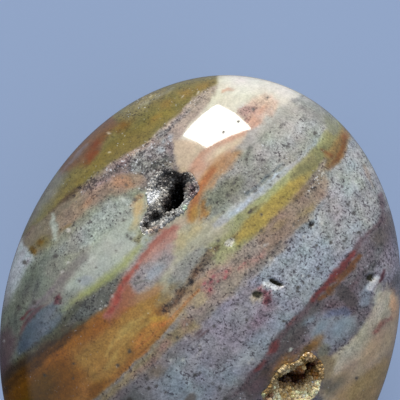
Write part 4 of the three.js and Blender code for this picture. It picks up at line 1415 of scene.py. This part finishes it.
# The crystals of the honey hollow: golden points above, a brown core and a cream crust below. The brown core
# and the red-brown cleft are partly painted shade in the deep recess, and the light tip of the ridge is a
# painted highlight.
HONEY_MARKS: tuple[Mark, ...] = (
    Band("tawny druse", Tone.OLD_GOLD, "-34:-34:34 34:-34:34", soft=1.0, ragged=0.0),
    Band("cream crust", Tone.PALE_CREAM,
         "-1:-15:-13.2 1.4:-16:-13.4 2.6:-17:-13.7 3.6:-18:-14.3 5:-18:-15 6:-18:-15.1 7.2:-17:-15.2",
         soft=0.6),
    Spot("tawny streaks", Tone.HONEY, "3.3:-14.6:0.3:0.8:0 2.3:-14.3:0.2:0.5:0 5.4:-15.6:0.2:0.5:0",
         soft=0.35),
    Spot("white crumbs", Tone.FROST, "3.1:-15.4:0.5:0.35:-30 1.5:-14.4:0.5:0.25:-30 4.5:-16.3:0.5:0.4:-30 "
         "6.6:-15.7:0.35:0.4:0 1.1:-13.9:0.5:0.2:0", soft=0.3),
    Spot("green crumbs", Tone.PISTACHIO, "5.2:-16.4:0.6:0.35:0 0.3:-12.9:0.4:0.3:0", soft=0.3),
    Spot("pale points", Tone.IVORY,
         "2.4:-12.8:1:0.45:50 4.8:-12.1:0.8:0.4:-10 4.4:-11.6:0.5:0.2:0 6.3:-12.4:0.5:0.25:0", soft=0.4),
    Spot("pale ridge", Tone.PEACH, "8:-12.6:0.75:0.35:-45", soft=0.3),
    Spot("golden ridge", Tone.AMBER, "6.4:-13.2:0.45:0.6:-20", soft=0.3),
    # A painted highlight on the ridge's tip.
    Spot("light tip of the ridge", Tone.LEMON, "6.5:-13.5:0.2:0.3:0", soft=0.25),
    Spot("golden points", Tone.DARK_GOLD, "3.5:-12:0.4:0.25:0 7.2:-12.4:0.5:0.3:0", soft=0.4),
    # Partly the dark crystals and partly painted shade in the deep recess.
    Spot("brown core", Tone.BROWN_BLACK, "3.4:-13:0.7:0.5:0 4.6:-14.2:0.9:0.4:-38", soft=0.4),
    # Partly the cleft's own colour and partly painted shade in it.
    Spot("red-brown cleft", Tone.RED_BROWN, "7.4:-13.8:1:0.4:-10 5.8:-14.1:0.5:0.5:0", soft=0.4),
    Spot("olive floor", Tone.CHESTNUT, "5:-13.2:0.9:0.6:0", soft=0.4),
    Spot("olive wall", Tone.ORANGE, "7.3:-14.8:0.4:0.6:0", soft=0.4),
    Spot("cream right edge", Tone.PALE_OCHRE, "8.2:-14.9:0.3:0.7:-15", soft=0.3),
    Spot("red-brown foot", Tone.COPPER, "0.6:-13.5:0.5:0.25:0", soft=0.3),
)

# How band coordinates drift, along s and along t.
DRIFT = (
    (Noise(0.12, 1.8, 61), Noise(0.07, 0.6, 62)),
    (Noise(0.12, 1.8, 71), Noise(0.07, 0.6, 72)),
)
# How the marks' edges wander, in three ways that the marks take in turn: a coarse noise, which is
# drawn out along the bands by EDGE_STRETCH, and a fine one.
EDGE_STRETCH = (0.35, 1.0)
EDGES = (
    (Noise(0.8, 1.0, 81), Noise(0.6, 0.45, 86)),
    (Noise(0.8, 0.7, 82), Noise(0.6, 0.315, 87)),
    (Noise(0.8, 1.5, 83), Noise(0.6, 0.675, 88)),
)
# How uneven the colour is: large clouds, two layers of streaks with their stretch in s and t, and
# a noise for each of the colour's three shares.
CLOUDS = Noise(0.04, 2.6, 93)
STREAKS = (((0.2, 1.0), Noise(0.05, 0.9, 91)), ((0.35, 1.0), Noise(0.07, 0.4, 92)))
HUES = (Noise(0.03, 1.9, 94), Noise(0.03, 1.9, 95), Noise(0.03, 1.9, 96))


@dataclass(frozen=True)
class Painter:
    """Lays marks over points of the stone, from the first to the last.

    wander is how strongly places drift, and slide how far bands slide along s and t for each
    millimetre below the upper face. softness widens all edges, and bleed is how far a band fades
    into the ground. The first band is ground even ground_reach away.
    """

    pebble: Pebble
    wander: float = 1.0
    slide: tuple[float, float] = (0.5, 0.35)
    softness: float = 1.5
    bleed: float = 0.4
    ground_reach: float = 2.0

    def place(self, points: Array) -> Array:
        """Band coordinates of points, with a little wander.

        Args:
            points: Places on the form, in millimetres.

        Returns:
            The band coordinates, one row each.
        """
        depth = self.pebble.height(points[:, 0], points[:, 1]) - points[:, 2]
        place = turned(points, -BAND_TURN) + np.clip(depth, 0.0, None)[:, None] * self.slide
        drift = [coarse.at(points) + fine.at(points) for coarse, fine in DRIFT]
        return place + self.wander * np.stack(drift, axis=1)

    def shares(self, place: Array, marks: Sequence[Mark]) -> tuple[Array, Array]:
        """How strongly each mark covers each place.

        Args:
            place: Band coordinates.
            marks: The marks, in the order of laying.

        Returns:
            For each mark, its share of the ground under all of them, which takes the colour of
            the nearest bands, and its own cover.
        """
        drawn = place * EDGE_STRETCH
        rough = [coarse.at(drawn) + fine.at(place) for coarse, fine in EDGES]
        ground = np.zeros((len(marks), len(place)))
        cover = np.zeros((len(marks), len(place)))
        for number, mark in enumerate(marks):
            reach = mark.reach(place) + mark.ragged * rough[number % len(rough)]
            half = 0.5 * self.softness * mark.soft
            cover[number] = mark.cover * smooth_step(-half, half, reach)
            if isinstance(mark, Band):
                ground[number] = mark.cover * np.exp(np.minimum(reach, 0.0) / self.bleed)
        ground[0] = math.exp(-self.ground_reach / self.bleed)
        return ground / ground.sum(axis=0), cover

    def paint(self, place: Array, marks: Sequence[Mark]) -> tuple[Array, Array]:
        """Lay marks over places.

        Args:
            place: Band coordinates.
            marks: The marks, in the order of laying.

        Returns:
            Display shares of the colour, and the shares of cells with dark and with pale dots.
        """
        ground, cover = self.shares(place, marks)
        colours = np.array([tint(mark.colour) for mark in marks])
        grains = np.array([[mark.dark, mark.pale] for mark in marks])
        colour, grain = ground.T @ colours, ground.T @ grains
        for number, share in enumerate(cover):
            colour += share[:, None] * (colours[number] - colour)
            grain += share[:, None] * (grains[number] - grain)
        return colour, grain


# ---- Meshes ----


def disc_grid(cells: int) -> Array:
    """Unit-disc points of a square grid, by the concentric map, which keeps cells even.

    Args:
        cells: Cells along a side of the square.

    Returns:
        The points, one row each, the square's second axis fastest.
    """
    line = np.linspace(-1.0, 1.0, cells + 1)
    a, b = (side.ravel() for side in np.meshgrid(line, line, indexing="ij"))
    wide = np.abs(a) > np.abs(b)
    radius = np.where(wide, a, b)
    share = np.where(wide, b, a) / np.where(radius == 0.0, 1.0, radius) * math.pi / 4.0
    turn = np.where(wide, share, math.pi / 2.0 - share)
    return np.stack([radius * np.cos(turn), radius * np.sin(turn)], axis=1)


def grid_faces(rows: int, columns: int) -> Array:
    """Quads of a grid of points whose second index runs fastest, as a (rows, columns, 4) array."""
    index = np.arange((rows + 1) * (columns + 1)).reshape(rows + 1, columns + 1)
    return np.stack([index[:-1, :-1], index[1:, :-1], index[1:, 1:], index[:-1, 1:]], axis=-1)


def add_mesh(
    name: str, points: Array, faces: Sequence[Sequence[int]], smooth: bool
) -> bpy.types.Object:
    """Make a mesh object at the origin.

    Args:
        name: Its name.
        points: Its points in millimetres.
        faces: Its faces.
        smooth: Whether they are shaded smooth.

    Returns:
        The object.
    """
    mesh = bpy.data.meshes.new(name)
    mesh.from_pydata((points * METRE).tolist(), [], faces)
    mesh.polygons.foreach_set("use_smooth", np.full(len(mesh.polygons), smooth))
    mesh.update()
    piece = bpy.data.objects.new(name, mesh)
    bpy.context.scene.collection.objects.link(piece)
    return piece


def add_colours(piece: bpy.types.Object, name: str, colours: Array) -> None:
    """Store linear colours at the vertices.

    Args:
        piece: The mesh object.
        name: The attribute's name.
        colours: Three columns.
    """
    rows = np.column_stack([colours, np.ones(len(colours))])
    layer = piece.data.color_attributes.new(name, "FLOAT_COLOR", "POINT")
    layer.data.foreach_set("color", rows.ravel().astype(np.float32))


@dataclass(frozen=True)
class SkinMesh:
    """The polished skin with its hollows and pits: two disc grids joined at the equator.

    The upper grid has twice the lower one's cells. In plan a grid is even out to even_reach of
    its radius, and stretched by spread. near is half the box round a hollow's frame that its wall
    stays in, and pit_wall the share of a pit's radius that its wall takes.
    """

    pebble: Pebble
    hollows: tuple[Hollow, ...]
    pits: tuple[Pit, ...]
    lower_cells: int = 139
    spread: float = 1.0357
    even_reach: float = 0.93
    near: tuple[float, float, float] = (9.0, 7.0, 6.0)
    pit_wall: float = 0.6

    def directions(self, cells: int, side: float) -> Array:
        """Unit directions of one half: even in plan out to even_reach, then even in angle.

        Args:
            cells: Cells along the grid's side.
            side: 1 for the upper half, -1 for the lower.

        Returns:
            The directions, one row each.
        """
        flat = disc_grid(cells)
        radius = np.linalg.norm(flat, axis=1)
        knee = math.asin(self.spread * self.even_reach)
        share = (radius - self.even_reach) / (1.0 - self.even_reach)
        outer = knee + (math.pi / 2.0 - knee) * share
        inner = np.arcsin(np.clip(self.spread * radius, 0.0, 1.0))
        angle = np.where(radius < self.even_reach, inner, outer)
        scale = np.sin(angle) / np.where(radius == 0.0, 1.0, radius)
        return np.column_stack([flat * scale[:, None], side * np.cos(angle)])

    def whole(self) -> tuple[Array, list[list[int]]]:
        """The skin with nothing cut into it. Triangles join the two grids' edges.

        Returns:
            The points and the faces.
        """
        fine, coarse = 2 * self.lower_cells, self.lower_cells
        upper = self.directions(fine, 1.0)
        lower = self.directions(coarse, -1.0)
        edge = np.zeros((coarse + 1, coarse + 1), dtype=bool)
        edge[[0, -1], :] = edge[:, [0, -1]] = True
        edge = edge.ravel()
        index = np.arange((fine + 1) ** 2).reshape(fine + 1, fine + 1)
        joined = np.empty((coarse + 1) ** 2, dtype=int)
        joined[edge] = index[::2, ::2].ravel()[edge]
        joined[~edge] = len(upper) + np.arange((~edge).sum())
        ring = np.concatenate([index[:, 0], index[-1, 1:], index[-2::-1, -1], index[0, -2::-1]])
        seam = np.stack([ring[2::2], ring[1::2], ring[:-2:2]], axis=1)
        faces = grid_faces(fine, fine).reshape(-1, 4).tolist()
        faces += joined[grid_faces(coarse, coarse).reshape(-1, 4)][:, ::-1].tolist()
        return self.pebble.skin(np.vstack([upper, lower[~edge]])), faces + seam.tolist()

    def cut(self, skin: Array) -> Array:
        """Sink the hollows and pits into the skin, and grind the flat spot.

        Args:
            skin: The skin's points.

        Returns:
            The points where they end up.
        """
        points = skin.copy()
        for hollow in self.hollows:
            origin, axes = hollow.axes(self.pebble)
            local = (skin - origin) @ axes.T
            near = (np.abs(local) < self.near).all(axis=1)
            points[near] -= hollow.depth(self.pebble, local[near, :2])[:, None] * axes[2]
        up = skin[:, 2] > self.pebble.centre_height
        for pit in self.pits:
            share = np.where(up, pit.share(skin), -1.0)
            sunk = pit.depth * smooth_step(0.0, self.pit_wall, share)
            points -= sunk[:, None] * self.pebble.normals(skin)
        points[:, 2] = np.maximum(points[:, 2], 0.0)
        return points


@dataclass(frozen=True)
class Druse:
    """The crust that lines a hollow: a closed sheet, and crystals that grow from it.

    step is the sheet's grid, margin how far it goes past the mouth, and reach how far the sheet
    goes under the skin. It stands lining off the hollow's wall, at least least_depth under the
    skin, and falls by dive for each millimetre outside the mouth. Crystals have a radius from
    small to large, and large ones are rarer by the power rarity. They lean off the normal and
    stand root deep. lengths are their least and greatest length and tip the tip's, in radii.
    """

    hollow: Hollow
    pebble: Pebble
    seed: int
    count: int
    small: float
    large: float
    step: float = 0.075
    margin: float = 0.8
    reach: float = 0.3
    thickness: float = 0.3
    lining: float = 0.3
    least_depth: float = 0.06
    dive: float = 1.2
    rarity: float = 2.5
    lean: float = 0.45
    root: float = 0.15
    lengths: tuple[float, float] = (0.7, 2.0)
    tip: float = 0.75
    sides: int = 6

    def sheet(self) -> tuple[Array, Array, Array]:
        """The grid of the crust's surface.

        Returns:
            The points as a (rows, columns, 3) grid, their depth below the skin, and how far they
            lie inside the mouth.
        """
        outline = self.hollow.ring(self.pebble, self.hollow.mouth)
        low, high = outline.min(0) - self.margin, outline.max(0) + self.margin
        lines = [np.arange(start, end, self.step) for start, end in zip(low, high)]
        a, b = np.meshgrid(*lines, indexing="ij")
        origin, axes = self.hollow.axes(self.pebble)
        plane = origin + a.reshape(-1, 1) * axes[0] + b.reshape(-1, 1) * axes[1]
        ray = (plane - [0.0, 0.0, self.pebble.centre_height]) / self.pebble.halves
        skin = self.pebble.skin(ray / np.linalg.norm(ray, axis=1, keepdims=True))
        local = ((skin - origin) @ axes.T)[:, :2]
        inside = inside_depth(local, outline)
        lumps = Noise(0.16, 1.1, self.seed).at(local) + Noise(0.10, 0.4, self.seed + 1).at(local)
        lumps *= smooth_step(0.1, 0.8, inside)
        depth = self.hollow.depth(self.pebble, local) - self.lining + lumps
        depth = np.maximum(depth, self.least_depth) + np.clip(-inside, 0.0, None) * self.dive
        surface = skin - depth[:, None] * axes[2]
        return surface.reshape(*a.shape, 3), depth.reshape(a.shape), inside.reshape(a.shape)

    def build(self) -> tuple[Array, list[list[int]], Array]:
        """Make the crust: the sheet, its underside, the wall round them and the crystals.

        Returns:
            The points, the faces, and for each point the place whose colour it takes, the depth
            there and a random share, in five columns.
        """
        grid, depth, inside = self.sheet()
        rows, columns = depth.shape
        kept = inside > -self.reach
        full = kept[:-1, :-1] & kept[1:, :-1] & kept[1:, 1:] & kept[:-1, 1:]
        quads = grid_faces(rows - 1, columns - 1)[full]
        normals = np.cross(np.gradient(grid, axis=0), np.gradient(grid, axis=1))
        areas = np.linalg.norm(normals, axis=2)
        normals /= areas[..., None]
        random = np.random.default_rng(self.seed)
        used = np.unique(quads)
        shift = len(used)
        renumber = np.full(rows * columns, -1)
        renumber[used] = np.arange(shift)
        top = grid.reshape(-1, 3)[used]
        bottom = top - normals.reshape(-1, 3)[used] * self.thickness
        faces = renumber[quads]
        edges = np.concatenate([faces[:, [k, (k + 1) % 4]] for k in range(4)])
        rim = edges[~np.isin(edges @ [1, shift], edges @ [shift, 1])]
        wall = np.column_stack([rim[:, ::-1], rim + shift])
        info = np.column_stack([top, depth.ravel()[used], random.random(shift)])
        feet = np.column_stack([grid.reshape(-1, 3), normals.reshape(-1, 3), depth.ravel()])
        points, crystal_faces, notes = self.crystals(feet, areas.ravel(), inside.ravel(), random)
        all_faces = faces.tolist() + (faces[:, ::-1] + shift).tolist() + wall.tolist()
        all_faces += [[corner + 2 * shift for corner in face] for face in crystal_faces]
        return np.vstack([top, bottom, points]), all_faces, np.vstack([info, info, notes])

    def crystals(
        self, feet: Array, areas: Array, inside: Array, random: np.random.Generator
    ) -> tuple[Array, list[list[int]], Array]:
        """Crystals of uneven size standing on the sheet, near its normals.

        Each has a ring of corners at its foot, another at its shoulder, and a tip. They grow
        more sparsely with depth, and are small near the rim of the hollow.

        Args:
            feet: The sheet's points, their normals and their depth, in seven columns.
            areas: The area of sheet at each point.
            inside: How far inside the mouth's outline each point lies.
            random: Where the random numbers come from.

        Returns:
            The same three things as for the whole crust.
        """
        count, sides = self.count, self.sides
        weight = areas * (inside > 0.12) / (1.0 + 0.25 * feet[:, 6])
        chosen = random.choice(weight.size, count, p=weight / weight.sum())
        inside, depth = inside[chosen], feet[chosen, 6]
        foot = feet[chosen, :3] + random.normal(0.0, 0.3 * self.step, (count, 3))
        lean = feet[chosen, 3:6] + random.normal(0.0, self.lean, (count, 3))
        lean /= np.linalg.norm(lean, axis=1, keepdims=True)
        side = np.cross(lean, random.normal(size=(count, 3)))
        side /= np.linalg.norm(side, axis=1, keepdims=True)
        third = np.cross(lean, side)
        room = np.clip(inside * 0.8 + depth * 0.3, 0.08, 1.0)
        radius = self.small + (self.large - self.small) * random.random(count) ** self.rarity
        radius = np.minimum(radius, room)
        length = radius * random.uniform(*self.lengths, count)
        turn = np.arange(sides) * 2.0 * math.pi / sides
        ring = np.stack([np.cos(turn), np.sin(turn)], axis=1)
        flat = ring * (1.0 + random.uniform(-0.2, 0.2, (count, sides, 1)))
        spread = flat[..., :1] * side[:, None] + flat[..., 1:] * third[:, None]
        base = foot[:, None] + radius[:, None, None] * spread - self.root * lean[:, None]
        shoulder = base + (self.root + length)[:, None, None] * lean[:, None]
        tip = foot + (length + self.tip * radius)[:, None] * lean
        corners = np.concatenate([base, shoulder, tip[:, None]], axis=1)
        start = np.arange(count)[:, None, None] * (2 * sides + 1)
        first = np.arange(sides)
        after = (first + 1) % sides
        last = np.full(sides, 2 * sides)
        walls = start + np.stack([first, after, after + sides, first + sides], axis=1)
        tips = start + np.stack([first + sides, after + sides, last], axis=1)
        faces = walls.reshape(-1, 4).tolist() + tips.reshape(-1, 3).tolist()
        faces += (start[:, 0] + first[::-1]).tolist()
        notes = np.column_stack([foot, depth, random.random(count)])
        return corners.reshape(-1, 3), faces, np.repeat(notes, 2 * sides + 1, axis=0)


# ---- Finishes ----


@dataclass(frozen=True)
class Specks:
    """Specks where a noise rises over a threshold, and more of them where their share is greater.

    shift picks the noise. Their share adds lift to it, and a large noise that gathers the specks
    adds cluster. Specks start at threshold and fill in by rise, and set in with their share by
    onset. cover is how much of the colour they hide.
    """

    shift: float
    period: float
    detail: float
    lift: float
    cluster: float
    threshold: float
    rise: float
    onset: float
    cover: float

    def on(self, shop: NodeShop, place: Wire, share: Wire, clusters: Wire) -> Wire:
        """How much of the colour the specks hide.

        Args:
            shop: The material's shop.
            place: Coordinates in millimetres.
            share: The share of speckles there.
            clusters: The large noise.

        Returns:
            The hidden share.
        """
        noise = shop.noise(shop.shifted(place, self.shift), self.period, self.detail)
        level = noise + share * self.lift + clusters * self.cluster
        filled = ((level - self.threshold) * self.rise).clamped()
        return filled * (share * self.onset).clamped() * self.cover


PALE_SPECKS = Specks(
    shift=37.0, period=0.34, detail=1.0, lift=0.16, cluster=-0.22, threshold=0.62, rise=10.0,
    onset=8.0, cover=0.6,
)
DARK_SPECKS = Specks(
    shift=11.0, period=0.38, detail=1.5, lift=0.15, cluster=0.286, threshold=0.825, rise=14.0,
    onset=2.0, cover=0.85,
)


@dataclass(frozen=True)
class JasperFinish:
    """Polished jasper: the painted colour, broken up by a haze, a dust, specks and larger dots.

    The attribute tint holds the colour, and grain the shares of dark and of pale specks and the
    dullness of the skin. haze and dust are a period, a detail and a strength.
    """

    polish: float = 0.07
    dullness: float = 0.85
    refraction: float = 1.54
    haze: tuple[float, float, float] = (0.9, 3.0, 2.0)
    dust: tuple[float, float, float] = (0.26, 1.0, 2.2)
    pale_colour: Colour = (0.72, 0.74, 0.74, 1.0)
    shadow: Colour = (0.24, 0.20, 0.22, 1.0)
    dot_colour: Colour = (0.045, 0.038, 0.04, 1.0)

    def material(self) -> bpy.types.Material:
        """Make the material.

        Returns:
            The material.
        """
        material, shop = NodeShop.for_material("jasper")
        place = shop.place()
        grain = shop.attribute("grain")
        grit, chalk = grain.part(0), grain.part(1)
        haze = (shop.noise(place, *self.haze[:2]) - 0.5) * self.haze[2]
        dust = (shop.noise(place, *self.dust[:2]) - 0.5) * self.dust[2]
        shade = shop.grey((haze + dust) * (grit * 0.8 + 0.22) + 1.0)
        colour = shop.mix(1.0, shop.attribute("tint"), shade, "MULTIPLY")
        clusters = shop.noise(place, 2.2, 1.0)
        colour = shop.mix(PALE_SPECKS.on(shop, place, chalk, clusters), colour, self.pale_colour)
        shaded = shop.mix(1.0, colour, self.shadow, "MULTIPLY")
        colour = shop.mix(DARK_SPECKS.on(shop, place, grit, clusters), colour, shaded)
        dots = shop.dots(place, cell=1.6, radius=0.2, share=grit * 0.6 - 0.18)
        inputs = {
            "Base Color": shop.mix(dots * 0.75, colour, self.dot_colour),
            "Roughness": grain.part(2) * self.dullness + self.polish,
            "IOR": self.refraction,
        }
        shop.finish(shop.node("ShaderNodeBsdfPrincipled", {}, inputs))
        return material


@dataclass(frozen=True)
class QuartzFinish:
    """Sugary quartz: each crystal has its own tone, in the attribute tint, with painted shade and
    highlights.
    """

    name: str
    roughness: float = 0.3
    refraction: float = 1.54

    def material(self) -> bpy.types.Material:
        """Make the material.

        Returns:
            The material.
        """
        material, shop = NodeShop.for_material(self.name)
        tint_wire = shop.attribute("tint")
        inputs = {"Base Color": tint_wire, "Roughness": self.roughness, "IOR": self.refraction}
        shop.finish(shop.node("ShaderNodeBsdfPrincipled", {}, inputs))
        return material


# ---- The object ----


@dataclass
class PalmStone:
    """Builds the three pieces of the stone, puts each under the root body and hides the imported part of its
    node.
    """

    pebble: Pebble = field(default_factory=Pebble)

    def place(self, piece: bpy.types.Object, node: str, slot: str) -> None:
        """Put a piece under the root body, and hide the imported part of the node that it stands for.

        Args:
            piece: The piece.
            node: The node.
            slot: The record's material slot. It is not used.
        """
        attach(piece, "root")
        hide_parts(node)

    def polished_stone(self) -> bpy.types.Object:
        """The polished pebble with its banding. Hollows and pits are rough inside, and painted shade darkens
        them with depth.

        Returns:
            The piece.
        """
        mesh = SkinMesh(self.pebble, (SMOKY, HONEY), PITS)
        skin, faces = mesh.whole()
        points = mesh.cut(skin)
        painter = Painter(self.pebble)
        place = painter.place(skin)
        colour, grain = painter.paint(place, MARKS + FLECKS)
        streaks = sum(noise.at(place * stretch) for stretch, noise in STREAKS)
        hues = np.stack([hue.at(skin) for hue in HUES], axis=1)
        uneven = CLOUDS.at(skin)[:, None] + streaks[:, None] + hues
        colour *= 1.0 + uneven * (0.4 + 0.8 * grain[:, :1])
        up = skin[:, 2] > self.pebble.centre_height
        # Painted shade: skin sunk into the hollows and pits is darkened towards soot the deeper it lies, and
        # the same share makes it rough.
        shade_and_dullness = smooth_step(0.1, 0.4, np.linalg.norm(points - skin, axis=1)) * up
        colour += shade_and_dullness[:, None] * (tint(Tone.SOOT) - colour)
        # Pit floors: the dark ones are partly their own colour and partly painted shade, and the cream one
        # is a sugary patch.
        for pit in PITS:
            floor = smooth_step(0.05, 0.3, pit.share(skin)) * up
            colour += floor[:, None] * (tint(pit.floor) - colour)
            shade_and_dullness = np.maximum(shade_and_dullness, floor)
        shade_and_dullness = np.maximum(shade_and_dullness, smooth_step(-0.05, 0.1, DARK_FLECKS.reach(place)))
        piece = add_mesh("polished_stone", points, faces, True)
        add_colours(piece, "tint", to_linear(colour))
        add_colours(piece, "grain", np.column_stack([grain, shade_and_dullness]))
        piece.data.materials.append(JasperFinish().material())
        self.place(piece, "stone", "jasper")
        return piece

    def crystals(
        self, name: str, node: str, slot: str, druse: Druse, marks: Sequence[Mark], depth_shade: float
    ) -> bpy.types.Object:
        """The crust of one hollow.

        Args:
            name: The piece's name.
            node: The node it stands for.
            slot: The record's material slot.
            druse: The crust's form.
            marks: Its colours.
            depth_shade: Painted shade: the share of its colour that the depth of the hollow takes away.

        Returns:
            The piece.
        """
        points, faces, notes = druse.build()
        painter = Painter(self.pebble, wander=0.4, slide=(0.0, 0.0))
        colour, _ = painter.paint(painter.place(notes[:, :3]), marks)
        tone = np.exp(0.9 * (notes[:, 4] - 0.5))
        # Painted shade: crystals are painted darker the deeper they stand in the hollow.
        shade = 1.0 - depth_shade * smooth_step(1.8, 3.4, notes[:, 3])
        piece = add_mesh(name, points, faces, False)
        light = np.clip(to_linear(colour) * (tone * shade)[:, None], 0.0, 0.9)
        add_colours(piece, "tint", light)
        piece.data.materials.append(QuartzFinish(slot).material())
        self.place(piece, node, slot)
        return piece

    def build(self) -> list[bpy.types.Object]:
        """Make every piece.

        Returns:
            The pieces.
        """
        smoky = Druse(SMOKY, self.pebble, seed=7, count=5600, small=0.05, large=0.2)
        honey = Druse(HONEY, self.pebble, seed=8, count=4600, small=0.06, large=0.26)
        return [
            self.polished_stone(),
            self.crystals(
                "smoky_crystals", "smoky_crystal_crust", "smoky_quartz", smoky, SMOKY_MARKS, 0.95
            ),
            self.crystals(
                "honey_crystals", "honey_crystal_crust", "honey_quartz", honey, HONEY_MARKS, 0.6
            ),
        ]


# ---- Studio ----


@dataclass(frozen=True)
class Studio:
    """The table, the window's light, the sky and the camera.

    turn is the camera's turn about the vertical, and the view's right and up follow from it. It
    looks at (look_x, look_y) and sees frame across. The polish mirrors the window's corners at
    window_places, from window_reach away.
    """

    pebble: Pebble
    turn: float = 17.78
    look_x: float = -4.65
    look_y: float = 14.48
    frame: float = 52.0
    distance: float = 2000.0
    film_width: float = 36.0
    table_half: float = 10000.0
    table_drop: float = 0.05
    table_colour: Colour = (0.105, 0.142, 0.213, 1.0)
    table_glow: Colour = (0.176, 0.232, 0.348, 1.0)
    window_places: Outline = ((-9.6, 21.8), (-6.6, 26.9), (-1.6, 25.3), (-6.3, 21.2))
    window_reach: float = 1000.0
    window_colour: Colour = (1.0, 0.97, 0.92, 1.0)
    brightness: float = 28.0
    sky_far: Colour = (0.26, 0.30, 0.40, 1.0)
    sky_near: Colour = (0.55, 0.60, 0.70, 1.0)
    ground_far: Colour = (0.05, 0.05, 0.06, 1.0)
    ground_near: Colour = (0.27, 0.31, 0.40, 1.0)

    def world_direction(self, right: float, up: float, out: float) -> Vector:
        """Turn a direction of the view into one of the stone's frame.

        Args:
            right: Its part along the view's right.
            up: Its part along the view's up.
            out: Its part towards the camera.

        Returns:
            The turned direction.
        """
        turn = math.radians(self.turn)
        x = right * math.cos(turn) - up * math.sin(turn)
        return Vector((x, right * math.sin(turn) + up * math.cos(turn), out))

    def table(self) -> bpy.types.Object:
        """A pale blue-grey table just under the flat spot.

        Returns:
            The table.
        """
        corners = np.array([(-1, -1), (1, -1), (1, 1), (-1, 1)]) * self.table_half
        corners = np.column_stack([corners, np.full(4, -self.table_drop)])
        table = add_mesh("table", corners, [[0, 1, 2, 3]], False)
        material, shop = NodeShop.for_material("table")
        inputs = {
            "Base Color": self.table_colour,
            "Roughness": 0.8,
            "Emission Color": self.table_glow,
            "Emission Strength": 1.0,
        }
        shop.finish(shop.node("ShaderNodeBsdfPrincipled", {}, inputs))
        table.data.materials.append(material)
        table.visible_glossy = False
        return table

    def window(self) -> bpy.types.Object:
        """A bright window at the far end, mirrored about between four places of the stone's plan.

        From each place, the way to the window's corner is straight up mirrored at the normal.

        Returns:
            The window's pane.
        """
        plan = np.array(self.window_places)
        spots = np.column_stack([plan, self.pebble.height(*plan.T)])
        normals = self.pebble.normals(spots)
        away = 2.0 * normals[:, 2:] * normals - [0.0, 0.0, 1.0]
        pane = add_mesh("window", spots + self.window_reach * away, [[0, 1, 2, 3]], False)
        material, shop = NodeShop.for_material("window")
        light = {"Color": self.window_colour, "Strength": self.brightness}
        shop.finish(shop.node("ShaderNodeEmission", {}, light))
        pane.data.materials.append(material)
        pane.visible_camera = False
        return pane

    def sky(self) -> None:
        """Soft bluish light, brighter on the window's side, and a dimmer glow from below."""
        world = bpy.data.worlds.new("room")
        world.use_nodes = True
        world.node_tree.nodes.clear()
        shop = NodeShop(world.node_tree)
        ahead = shop.node("ShaderNodeTexCoord", {}, {}, "Generated")
        windowward = self.world_direction(0.35, 1.0, 0.2).normalized()
        side = shop.vector("DOT_PRODUCT", {0: ahead, 1: windowward}, "Value")
        height = shop.vector("DOT_PRODUCT", {0: ahead, 1: (0.0, 0.0, 1.0)}, "Value")
        above = shop.mix((side * 0.5 + 0.5).clamped(), self.sky_far, self.sky_near)
        below = shop.mix((side * 1.6 + 0.5).clamped(), self.ground_far, self.ground_near)
        colour = shop.mix((height * 6.0 + 0.6).clamped(), below, above)
        light = shop.node("ShaderNodeBackground", {}, {"Color": colour, "Strength": 1.0})
        shop.node("ShaderNodeOutputWorld", {}, {"Surface": light})
        bpy.context.scene.world = world

    def camera(self) -> None:
        """A long lens straight above the stone."""
        camera = bpy.data.cameras.new("camera")
        camera.type = "PERSP"
        camera.sensor_width = self.film_width
        camera.lens = self.film_width * self.distance / self.frame
        camera.clip_start = 0.05
        camera.clip_end = 20.0
        holder = bpy.data.objects.new("camera", camera)
        height = self.pebble.centre_height + self.distance
        holder.location = Vector((self.look_x, self.look_y, height)) * METRE
        holder.rotation_euler = (0.0, 0.0, math.radians(self.turn))
        bpy.context.scene.collection.objects.link(holder)
        bpy.context.scene.camera = holder

    def build(self) -> None:
        """Set the whole studio up."""
        self.table()
        self.window()
        self.sky()
        self.camera()
        bpy.context.scene.view_settings.view_transform = "Standard"


def main() -> None:
    """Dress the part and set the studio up."""
    logging.basicConfig(level=logging.INFO)
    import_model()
    stone = PalmStone()
    for piece in stone.build():
        LOG.info("%s: %d faces", piece.name, len(piece.data.polygons))
    Studio(stone.pebble).build()


if __name__ == "__main__":
    main()
